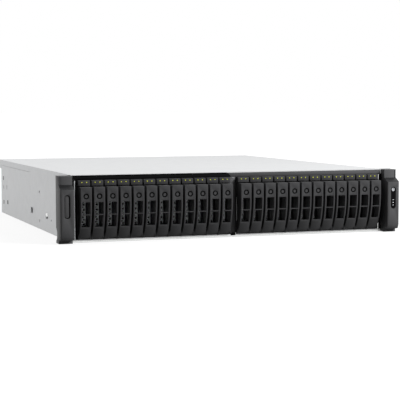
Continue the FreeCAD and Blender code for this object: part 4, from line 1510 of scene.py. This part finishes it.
@dataclass
class SteelBody:
    """The steel body and its cover, which keep their solids, and the small fittings on its walls."""

    half: float = 223.0
    rivet_radius: float = 1.3
    rivet_y: float = 119.0
    rivet_z: float = 19.0
    rivet_rim: float = 0.5
    rivet_dish: float = 0.3
    rivet_root: float = 0.1
    rivet_thick: float = 0.5
    rivet_edge: float = 0.1
    hook_y: float = 143.5
    hook_low: float = 22.4
    hook_high: float = 27.5
    hook_reach: float = 2.2
    hook_slant: float = 1.2
    # Where the lead-in starts and ends, from the mouth of the hook
    hook_span: Spot = (-0.4, 1.6)
    # How far back, how high and how wide each black patch of painted slot shade is
    catches: tuple[Point, ...] = ((484.5, 58.5, 4.4), (482.0, 19.0, 5.0), (447.0, 21.0, 7.5))
    catch_height: float = 6.4
    catch_proud: float = 0.2
    root: float = 0.3
    edge: float = 0.15

    def rivet(self) -> Piece:
        """A small rivet in the right wall, dished in its middle.

        Returns:
            The new piece.
        """
        head = bar((self.half - self.rivet_root, self.rivet_y, self.rivet_z), Axis.X, self.rivet_radius,
                   self.rivet_thick, sides=24)
        with editing(head):
            choose(head, Element.FACE, lambda place, way: way.x > ALONG)
            bpy.ops.mesh.inset(thickness=self.rivet_rim * MM, depth=-self.rivet_dish * MM)
        return soften(head, self.rivet_edge)

    def hook_lip(self) -> Piece:
        """The slanted lead-in at the mouth of the front rail hook.

        Returns:
            The new piece.
        """
        start, end = self.hook_span
        lip = block((self.half - self.root, self.hook_y + start, self.hook_low),
                    (self.half + self.hook_reach, self.hook_y + end, self.hook_high))
        with editing(lip):
            choose(lip, Element.VERTEX, lambda place, way: place.x > self.half and place.y < self.hook_y)
            bpy.ops.transform.translate(value=(0, self.hook_slant * MM, 0))
        return soften(lip, self.edge)

    def rail_catches(self) -> Piece:
        """Black patches near the rear of the right wall: painted shade for its dark slots.

        Returns:
            The new piece.
        """
        parts = []
        for y, z, width in self.catches:
            parts.append(block((self.half - self.root, y - width / 2, z - self.catch_height / 2),
                               (self.half + self.catch_proud, y + width / 2, z + self.catch_height / 2)))
        return soften(join(parts), self.edge)

    def build(self, finishes: Finishes) -> None:
        """Dress the solids and set the rivets, hook lips and the black patches of painted slot shade.

        Args:
            finishes: the server's materials.
        """
        for node in ("chassis_base", "top_cover"):
            paint(node, finishes.steel)
        for name, right, slot, finish in (
                ("wall_rivet", self.rivet(), "zinc_steel", finishes.drive_case),
                # Painted highlight: the hook lip takes the paler mirror steel
                ("hook_lip", self.hook_lip(), "zinc_steel", finishes.edge_steel),
                # Painted shade: black patches stand for the shade in the wall's slots
                ("rail_catches", self.rail_catches(), "frame_plastic", finishes.black)):
            left = mirrored(twin(right))
            fit(right, f"{name}_right", ROOT, finish)
            fit(left, f"{name}_left", ROOT, finish)


class Socket(Enum):
    """The kinds of sockets in the rear wall."""

    NETWORK = "network"
    FIBRE = "fibre"
    SERIAL = "serial"


@dataclass(frozen=True)
class SocketForm:
    """The sizes that all sockets of a kind share; heights are from the mouth's middle line."""

    width: float
    height: float
    mouth_width: float
    mouth_height: float
    depth: float
    tongue_half: float
    tongue_length: float
    tongue_low: float
    tongue_high: float
    contact_count: int
    contact_pitch: float
    contact_end: float


SOCKET_FORMS = {
    Socket.NETWORK: SocketForm(width=15.8, height=13.4, mouth_width=11.8, mouth_height=9.0, depth=14.0,
                               tongue_half=4.4, tongue_length=9.0, tongue_low=2.3, tongue_high=3.2,
                               contact_count=8, contact_pitch=1.02, contact_end=8.4),
    Socket.FIBRE: SocketForm(width=14.8, height=10.8, mouth_width=13.2, mouth_height=9.0, depth=44.0,
                             tongue_half=4.6, tongue_length=7.0, tongue_low=-0.6, tongue_high=0.6,
                             contact_count=10, contact_pitch=0.8, contact_end=6.6),
    Socket.SERIAL: SocketForm(width=14.4, height=7.2, mouth_width=12.6, mouth_height=5.2, depth=12.0,
                              tongue_half=5.2, tongue_length=9.0, tongue_low=0.2, tongue_high=1.9,
                              contact_count=10, contact_pitch=0.8, contact_end=8.4),
}


@dataclass(frozen=True)
class RearSocket:
    """One socket of the main board: a bright liner with a collar, and its contacts."""

    name: str
    kind: Socket
    x: float
    low: float = 8.8
    rear: float = 504.0
    sheet: float = 0.35
    slack: float = 0.02
    floor_gap: float = 0.05
    floor_top: float = 0.4
    rim: float = 0.2
    # Where the collar starts and ends behind the rear wall
    collar_span: Spot = (-0.05, 0.45)
    liner_edge: float = 0.12
    tongue_root: float = 0.3
    tongue_edge: float = 0.15
    contact_half: float = 0.2
    contact_thick: float = 0.35
    contact_drop: float = 0.3
    contact_start: float = 0.5
    contact_edge: float = 0.08
    light_apart: float = 4.6
    light_half: float = 1.3
    # Where a light starts and ends behind the rear wall, and under the top of the collar
    light_span: Spot = (0.4, 0.65)
    light_drop: Spot = (1.7, 0.5)
    light_edge: float = 0.1

    @property
    def form(self) -> SocketForm:
        """The sizes of this kind of socket."""
        return SOCKET_FORMS[self.kind]

    @property
    def middle(self) -> float:
        """The height of the socket's middle line."""
        return self.low + self.form.height / 2

    @property
    def floor(self) -> float:
        """The Y where the tongue starts, inside the sheet of the liner's floor."""
        return self.rear - self.form.depth + self.tongue_root

    def room(self, margin: float, front: float, rear: float) -> Piece:
        """A block as wide and high as the mouth, less a margin on each side.

        Args:
            margin: how much it is smaller on each side.
            front: where it starts along Y.
            rear: where it ends along Y.

        Returns:
            The new block.
        """
        half, reach = self.form.mouth_width / 2 - margin, self.form.mouth_height / 2 - margin
        return block((self.x - half, front, self.middle - reach), (self.x + half, rear, self.middle + reach))

    def liner(self) -> Piece:
        """The liner of the mouth and the collar round it.

        Returns:
            The new piece.
        """
        deep = self.rear - self.form.depth
        shell = self.room(self.slack, deep + self.floor_gap, self.rear + self.rim)
        carve(shell, self.room(self.sheet, deep + self.floor_top, self.rear + CLEAR))
        half, (start, end) = self.form.width / 2, self.collar_span
        collar = block((self.x - half, self.rear + start, self.low),
                       (self.x + half, self.rear + end, self.low + self.form.height))
        carve(collar, self.room(self.sheet, self.rear - CLEAR, self.rear + CLEAR))
        return soften(join([shell, collar]), self.liner_edge)

    def tongue(self) -> Piece:
        """The insulator that carries the contacts.

        Returns:
            The new piece.
        """
        half = self.form.tongue_half
        part = block((self.x - half, self.floor, self.middle + self.form.tongue_low),
                     (self.x + half, self.floor + self.form.tongue_length,
                      self.middle + self.form.tongue_high))
        return soften(part, self.tongue_edge)

    def contacts(self) -> Piece:
        """The row of plated contacts under the insulator.

        Returns:
            The new piece.
        """
        low = self.middle + self.form.tongue_low - self.contact_drop
        bars = []
        for index in range(self.form.contact_count):
            x = self.x + self.form.contact_pitch * (index - (self.form.contact_count - 1) / 2)
            bars.append(block((x - self.contact_half, self.floor + self.contact_start, low),
                              (x + self.contact_half, self.floor + self.form.contact_end,
                               low + self.contact_thick)))
        return soften(join(bars), self.contact_edge, segments=1)

    def lights(self) -> Piece:
        """The two link lights over a network socket.

        Returns:
            The new piece.
        """
        top = self.low + self.form.height
        (start, end), (under, over) = self.light_span, self.light_drop
        parts = []
        for side in Side:
            x = self.x + side.value * self.light_apart
            parts.append(block((x - self.light_half, self.rear + start, top - under),
                               (x + self.light_half, self.rear + end, top - over)))
        return soften(join(parts), self.light_edge)

    def build(self, finishes: Finishes) -> None:
        """Model and dress the socket.

        Args:
            finishes: the server's materials.
        """
        fit(self.liner(), f"{self.name}_liner", ROOT, finishes.supply)
        fit(self.tongue(), f"{self.name}_tongue", ROOT, finishes.loop)
        fit(self.contacts(), f"{self.name}_contacts", ROOT, finishes.contact)
        if self.kind is Socket.NETWORK:
            fit(self.lights(), f"{self.name}_lights", ROOT, finishes.light)


@dataclass(frozen=True)
class ScrewHead:
    """A low pan-head screw that faces the rear, with a cross slot; shares are of its radius."""

    radius: float
    root: float = 0.1
    thick: float = 0.8
    rim_share: float = 0.25
    dome: float = 0.3
    slot_half_share: float = 0.14
    slot_reach_share: float = 0.55
    slot_floor: float = 0.4
    edge: float = 0.1

    def make(self, x: float, y: float, z: float) -> Piece:
        """Model one screw.

        Args:
            x: its middle to the right.
            y: the face that it sits on.
            z: its middle height.

        Returns:
            The new screw.
        """
        head = bar((x, y - self.root, z), Axis.Y, self.radius, self.thick, sides=24)
        with editing(head):
            choose(head, Element.FACE, lambda place, way: way.y > ALONG)
            bpy.ops.mesh.inset(thickness=self.rim_share * self.radius * MM, depth=self.dome * MM)
        narrow, wide = self.slot_half_share * self.radius, self.slot_reach_share * self.radius
        for across, up in ((narrow, wide), (wide, narrow)):
            carve(head, block((x - across, y + self.slot_floor, z - up),
                              (x + across, y + 2 * CLEAR, z + up)))
        return soften(head, self.edge)


@dataclass
class RearWall:
    """The sockets of the rear wall and the screws of its slot blanks and corners."""

    rear: float = 504.0
    slot_first: float = -74.0
    slot_pitch: float = 20.32
    slot_count: int = 4
    slot_screw_z: float = 82.4
    slot_screw: ScrewHead = ScrewHead(2.2)
    network: Spot = (-204.0, -186.0)
    fibre: Spot = (-162.0, -145.0)
    serial: Spot = (-122.0, -105.0)
    corner_places: tuple[Spot, ...] = ((-216.0, 79.0), (-216.0, 40.0), (16.0, 8.0), (139.0, 82.0))
    corner_screw: ScrewHead = ScrewHead(2.6)

    def build(self, finishes: Finishes) -> None:
        """Model and dress the sockets and screws.

        Args:
            finishes: the server's materials.
        """
        for kind, places in ((Socket.NETWORK, self.network), (Socket.FIBRE, self.fibre),
                             (Socket.SERIAL, self.serial)):
            for number, x in enumerate(places, start=1):
                RearSocket(f"{kind.value}_{number}", kind, x).build(finishes)
        screws = [self.slot_screw.make(self.slot_first + self.slot_pitch * index, self.rear,
                                       self.slot_screw_z) for index in range(self.slot_count)]
        screws += [self.corner_screw.make(x, self.rear, z) for x, z in self.corner_places]
        fit(join(screws), "rear_screws", ROOT, finishes.contact)


@dataclass
class PowerSupply:
    """A plug-in power supply: case, mains inlet with its blades, fan guard, pull loop and tab."""

    node: str
    body: str
    low: float
    left: float = 148.0
    right: float = 221.5
    front: float = 319.0
    rear: float = 504.0
    height: float = 40.0
    case_edge: float = 0.5
    inlet_x: float = 206.25
    inlet_half: float = 12.2
    inlet_high: float = 17.2
    inlet_cut: float = 5.0
    inlet_depth: float = 15.0
    inlet_slack: float = 0.05
    inlet_gap: float = 0.1
    inlet_wall: float = 0.9
    inlet_floor: float = 1.2
    inlet_collar: float = 0.8
    inlet_edge: float = 0.25
    # Where each blade stands from the inlet's middle
    blade_places: tuple[Spot, ...] = ((-7.0, -1.5), (7.0, -1.5), (0.0, 2.5))
    blade_half: float = 1.0
    blade_reach: float = 2.0
    blade_set: float = 3.0
    blade_root: float = 1.0
    blade_edge: float = 0.3
    fan_x: float = 169.25
    fan_radius: float = 16.5
    fan_recess: float = 3.0
    hub_radius: float = 6.0
    hub_thick: float = 1.8
    vane_count: int = 7
    vane_half: float = 1.6
    # Where a vane starts and ends, from the hub's middle and from the floor of the recess
    vane_span: Spot = (5.0, 15.4)
    vane_depth: Spot = (0.1, 1.2)
    fan_edge: float = 0.3
    guard_rings: tuple[float, ...] = (4.0, 8.0, 12.0, 15.6)
    wire_radius: float = 0.55
    wire_turn: float = 40.0
    ring_set: float = 0.3
    spoke_set: float = 0.8
    loop_x: float = 189.75
    loop_half: float = 2.5
    loop_reach: float = 20.0
    loop_bar: float = 2.6
    loop_low: float = 11.5
    loop_high: float = 38.5
    loop_radius: float = 5.0
    loop_edge: float = 0.6
    tab_low: float = 4.5
    tab_high: float = 9.5
    tab_reach: float = 9.0
    tab_grooves: Point = (4.0, 5.6, 7.2)
    groove_width: float = 0.7
    groove_depth: float = 0.5
    tab_edge: float = 0.2
    light_across: float = 8.0
    light_up: float = 5.0
    light_root: float = 0.4
    light_radius: float = 1.1
    light_length: float = 0.9
    light_edge: float = 0.2

    @property
    def middle(self) -> float:
        """The height of the case's middle line."""
        return self.low + self.height / 2

    def socket(self, margin: float, start: float, end: float) -> Piece:
        """A block with the inlet's outline, its two upper corners cut.

        Args:
            margin: how much it is smaller than the inlet on each side.
            start: where it starts along Y.
            end: where it ends along Y.

        Returns:
            The new block.
        """
        half, reach = self.inlet_half - margin, self.inlet_high / 2 - margin
        shape = block((self.inlet_x - half, start, self.middle - reach),
                      (self.inlet_x + half, end, self.middle + reach))
        return round_edges(shape, self.inlet_cut, segments=1,
                           wanted=lambda place, way: abs(way.y) > ALONG and place.z > self.middle)

    def case(self) -> Piece:
        """The steel case, open for the inlet and the fan.

        Returns:
            The new piece.
        """
        shell = block((self.left, self.front, self.low), (self.right, self.rear, self.low + self.height))
        carve(shell, self.socket(0, self.rear - self.inlet_depth, self.rear + CLEAR))
        carve(shell, bar((self.fan_x, self.rear - self.fan_recess, self.middle), Axis.Y, self.fan_radius,
                         self.fan_recess + CLEAR, sides=48))
        return soften(shell, self.case_edge)

    def inlet(self) -> Piece:
        """The inlet's plastic liner with a thin collar on the case.

        Returns:
            The new piece.
        """
        deep = self.rear - self.inlet_depth
        liner = self.socket(self.inlet_slack, deep + self.inlet_gap, self.rear + self.inlet_collar)
        carve(liner, self.socket(self.inlet_wall, deep + self.inlet_floor, self.rear + 2 * CLEAR))
        return soften(liner, self.inlet_edge)

    def blades(self) -> Piece:
        """The three flat blades of the inlet.

        Returns:
            The new piece.
        """
        floor = self.rear - self.inlet_depth + self.blade_root
        parts = []
        for across, up in self.blade_places:
            x, z = self.inlet_x + across, self.middle + up
            parts.append(block((x - self.blade_half, floor, z - self.blade_reach),
                               (x + self.blade_half, self.rear - self.blade_set, z + self.blade_reach)))
        return soften(join(parts), self.blade_edge)

    def guard(self) -> Piece:
        """The wire guard over the fan: rings on crossed spokes.

        Returns:
            The new piece.
        """
        parts = []
        for radius in self.guard_rings:
            deselect()
            bpy.ops.mesh.primitive_torus_add(
                major_radius=radius * MM, minor_radius=self.wire_radius * MM, major_segments=40,
                minor_segments=8, location=point(self.fan_x, self.rear - self.ring_set, self.middle),
                rotation=Axis.Y.value)
            parts.append(settle())
        reach, y = self.fan_radius, self.rear - self.spoke_set
        for start, axis in (((self.fan_x - reach, y, self.middle), Axis.X),
                            ((self.fan_x, y, self.middle - reach), Axis.Z)):
            parts.append(bar(start, axis, self.wire_radius, 2 * reach, sides=10))
        guard = join(parts)
        activate(guard)
        bpy.ops.object.shade_smooth_by_angle(angle=math.radians(self.wire_turn))
        return guard

    def fan(self) -> Piece:
        """The dark hub and blades behind the guard.

        Returns:
            The new piece.
        """
        floor = self.rear - self.fan_recess
        parts = [bar((self.fan_x, floor, self.middle), Axis.Y, self.hub_radius, self.hub_thick)]
        (inner, outer), (near, far) = self.vane_span, self.vane_depth
        for index in range(self.vane_count):
            vane = block((self.fan_x - self.vane_half, floor + near, self.middle + inner),
                         (self.fan_x + self.vane_half, floor + far, self.middle + outer))
            with editing(vane):
                bpy.ops.mesh.select_all(action="SELECT")
                bpy.ops.transform.rotate(value=math.tau * index / self.vane_count, orient_axis="Y",
                                         center_override=point(self.fan_x, floor, self.middle))
            parts.append(vane)
        return soften(join(parts), self.fan_edge)

    def loop(self) -> Piece:
        """The pull loop, round at its two outer corners.

        Returns:
            The new piece.
        """
        low, high = self.low + self.loop_low, self.low + self.loop_high
        half, end, thick = self.loop_half, self.rear + self.loop_reach, self.loop_bar
        outer = block((self.loop_x - half, self.rear, low), (self.loop_x + half, end, high))
        inner = block((self.loop_x - half - CLEAR, self.rear - CLEAR, low + thick),
                      (self.loop_x + half + CLEAR, end - thick, high - thick))
        for shape, radius, flats in ((outer, self.loop_radius, 5), (inner, self.loop_radius - thick, 4)):
            round_edges(shape, radius, flats,
                        lambda place, way: abs(way.x) > ALONG and place.y > self.rear + CLEAR)
        return soften(carve(outer, inner), self.loop_edge)

    def tab(self) -> Piece:
        """The release tab under the loop, with a ribbed end.

        Returns:
            The new piece.
        """
        half, top = self.loop_half, self.low + self.tab_high
        shape = block((self.loop_x - half, self.rear, self.low + self.tab_low),
                      (self.loop_x + half, self.rear + self.tab_reach, top))
        reach = half + CLEAR / 2
        for y in self.tab_grooves:
            start, end = self.rear + y, self.rear + y + self.groove_width
            carve(shape, block((self.loop_x - reach, start, top - self.groove_depth),
                               (self.loop_x + reach, end, top + CLEAR)))
        return soften(shape, self.tab_edge)

    def light(self) -> Piece:
        """The status light beside the tab."""
        start = (self.loop_x + self.light_across, self.rear - self.light_root, self.low + self.light_up)
        return soften(bar(start, Axis.Y, self.light_radius, self.light_length, sides=20), self.light_edge)

    def build(self, finishes: Finishes) -> None:
        """Model and dress the power supply.

        Args:
            finishes: the server's materials.
        """
        for piece, kind, slot, finish, stands_for in (
                (self.case(), "case", "supply_steel", finishes.supply, [self.node]),
                (self.inlet(), "inlet", "frame_plastic", finishes.black, []),
                (self.blades(), "blades", "supply_steel", finishes.contact, []),
                (self.guard(), "guard", "supply_steel", finishes.contact, []),
                (self.fan(), "fan", "fan_plastic", finishes.fan, []),
                (self.loop(), "loop", "fan_plastic", finishes.loop, [self.node]),
                (self.tab(), "tab", "fan_plastic", finishes.loop, [self.node]),
                (self.light(), "light", "button_plastic", finishes.light, [])):
            fit(piece, f"{self.node}_{kind}", self.body, finish, stands_for)


@dataclass
class Inside:
    """Boards and fans, which keep their solids."""

    boards: str = "circuit_boards"
    fans: tuple[str, ...] = ("fan_frames", "fan_rotor_1", "fan_rotor_2", "fan_rotor_3")

    def build(self, finishes: Finishes) -> None:
        """Dress the solids.

        Args:
            finishes: the server's materials.
        """
        paint(self.boards, finishes.board)
        for node in self.fans:
            paint(node, finishes.fan)


# Stage


def shown_rays(tree: bpy.types.NodeTree) -> bpy.types.NodeSocket:
    """Tell the rays that show the background from those that only light the server.

    Args:
        tree: the floor's or world's nodes.

    Returns:
        An output that is 1 for camera, glossy and transmission rays, and otherwise 0.
    """
    path = add_node(tree, "ShaderNodeLightPath")
    seen = add_node(tree, "ShaderNodeMath", {"operation": "MAXIMUM"},
                    {0: path.outputs["Is Camera Ray"], 1: path.outputs["Is Glossy Ray"]})
    shown = add_node(tree, "ShaderNodeMath", {"operation": "MAXIMUM"},
                     {0: seen.outputs["Value"], 1: path.outputs["Is Transmission Ray"]})
    return shown.outputs["Value"]


@dataclass(frozen=True)
class Lamp:
    """A square soft lamp; its places and its side are in metres, its power in watts."""

    name: str
    place: Point
    target: Point
    size: float
    power: float

    def build(self) -> None:
        """Add the lamp and point it at its target."""
        deselect()
        bpy.ops.object.light_add(type="AREA", location=self.place)
        lamp = bpy.context.active_object
        lamp.name = self.name
        lamp.data.size = self.size
        lamp.data.energy = self.power
        # Polished faces mirror the white surround instead
        lamp.visible_glossy = False
        lamp.rotation_mode = "QUATERNION"
        lamp.rotation_quaternion = (Vector(self.target) - Vector(self.place)).to_track_quat("-Z", "Y")


@dataclass
class Studio:
    """A white floor and world, soft lights and the camera at the photograph's angle; in metres."""

    camera_place: Point = (-0.59287, -1.82793, 0.17570)
    camera_yaw: float = 19.154
    camera_pitch: float = -4.276
    camera_roll: float = 0.13
    lens_mm: float = 112.35
    sensor_mm: float = 36.0
    clip_near: float = 0.05
    clip_far: float = 200.0
    floor_size: float = 60.0
    floor_z: float = -0.0002
    floor_colour: str = "5c5c5c"
    floor_roughness: float = 0.9
    # A distance from the server's middle and how white the floor looks there
    floor_near: Spot = (0.3, 0.82)
    floor_far: Spot = (1.6, 1.0)
    world_light: float = 0.15
    lamps: tuple[Lamp, ...] = (
        Lamp("key_front_right", (0.84, -0.92, 0.96), (0.02, -0.2, 0.05), size=0.7, power=52),
        Lamp("top_over_lid", (-0.32, 0.4, 1.15), (-0.2, 0.2, 0.08), size=0.9, power=11),
    )

    def floor(self) -> None:
        """A pale floor that keeps the server's shadow."""
        deselect()
        bpy.ops.mesh.primitive_plane_add(size=self.floor_size, location=(0, 0, self.floor_z))
        floor = bpy.context.active_object
        floor.name = "floor"
        # Paper: a matt grey in the lamps' light, lifted to white for the eye, less so near the server
        material = bpy.data.materials.new("white_paper_floor")
        material.use_nodes = True
        tree = material.node_tree
        shader = tree.nodes["Principled BSDF"]
        shader.inputs["Base Color"].default_value = linear(self.floor_colour)
        shader.inputs["Roughness"].default_value = self.floor_roughness
        coordinates = add_node(tree, "ShaderNodeTexCoord")
        distance = add_node(tree, "ShaderNodeVectorMath", {"operation": "LENGTH"},
                            {0: coordinates.outputs["Object"]})
        white = add_node(tree, "ShaderNodeMapRange", None,
                         {"Value": distance.outputs["Value"], "From Min": self.floor_near[0],
                          "From Max": self.floor_far[0], "To Min": self.floor_near[1],
                          "To Max": self.floor_far[1]})
        glow = add_node(tree, "ShaderNodeMath", {"operation": "MULTIPLY"},
                        {0: shown_rays(tree), 1: white.outputs["Result"]})
        shader.inputs["Emission Color"].default_value = linear("ffffff")
        tree.links.new(glow.outputs["Value"], shader.inputs["Emission Strength"])
        floor.data.materials.append(material)

    def world(self) -> None:
        """A white surround, dimmer as a light than it looks."""
        world = bpy.data.worlds.new("white_surround")
        world.use_nodes = True
        bpy.context.scene.world = world
        tree = world.node_tree
        strength = add_node(tree, "ShaderNodeMapRange", None,
                            {"Value": shown_rays(tree), "To Min": self.world_light, "To Max": 1.0})
        background = tree.nodes["Background"]
        background.inputs["Color"].default_value = linear("ffffff")
        tree.links.new(strength.outputs["Result"], background.inputs["Strength"])

    def camera(self) -> None:
        """The camera, fitted to the photograph."""
        deselect()
        turn = (math.radians(90 + self.camera_pitch), math.radians(self.camera_roll),
                -math.radians(self.camera_yaw))
        bpy.ops.object.camera_add(location=self.camera_place, rotation=turn)
        camera = bpy.context.active_object
        camera.data.lens = self.lens_mm
        camera.data.sensor_width = self.sensor_mm
        camera.data.clip_start = self.clip_near
        camera.data.clip_end = self.clip_far
        bpy.context.scene.camera = camera

    def build(self) -> None:
        """Set the stage."""
        bpy.context.scene.view_settings.view_transform = "Standard"
        self.world()
        self.floor()
        for lamp in self.lamps:
            lamp.build()
        self.camera()


def main() -> None:
    """Build the server and its stage."""
    logging.basicConfig(level=logging.INFO, format="%(message)s")
    finishes = Finishes.make()
    for assembly in (DriveBay(), RackEar(), FrontFrame(), SteelBody(), RearWall(),
                     PowerSupply("psu_lower", "supply_lower", low=1.5),
                     PowerSupply("psu_upper", "supply_upper", low=43.3), Inside()):
        assembly.build(finishes)
    Studio().build()


if __name__ == "__main__":
    main()
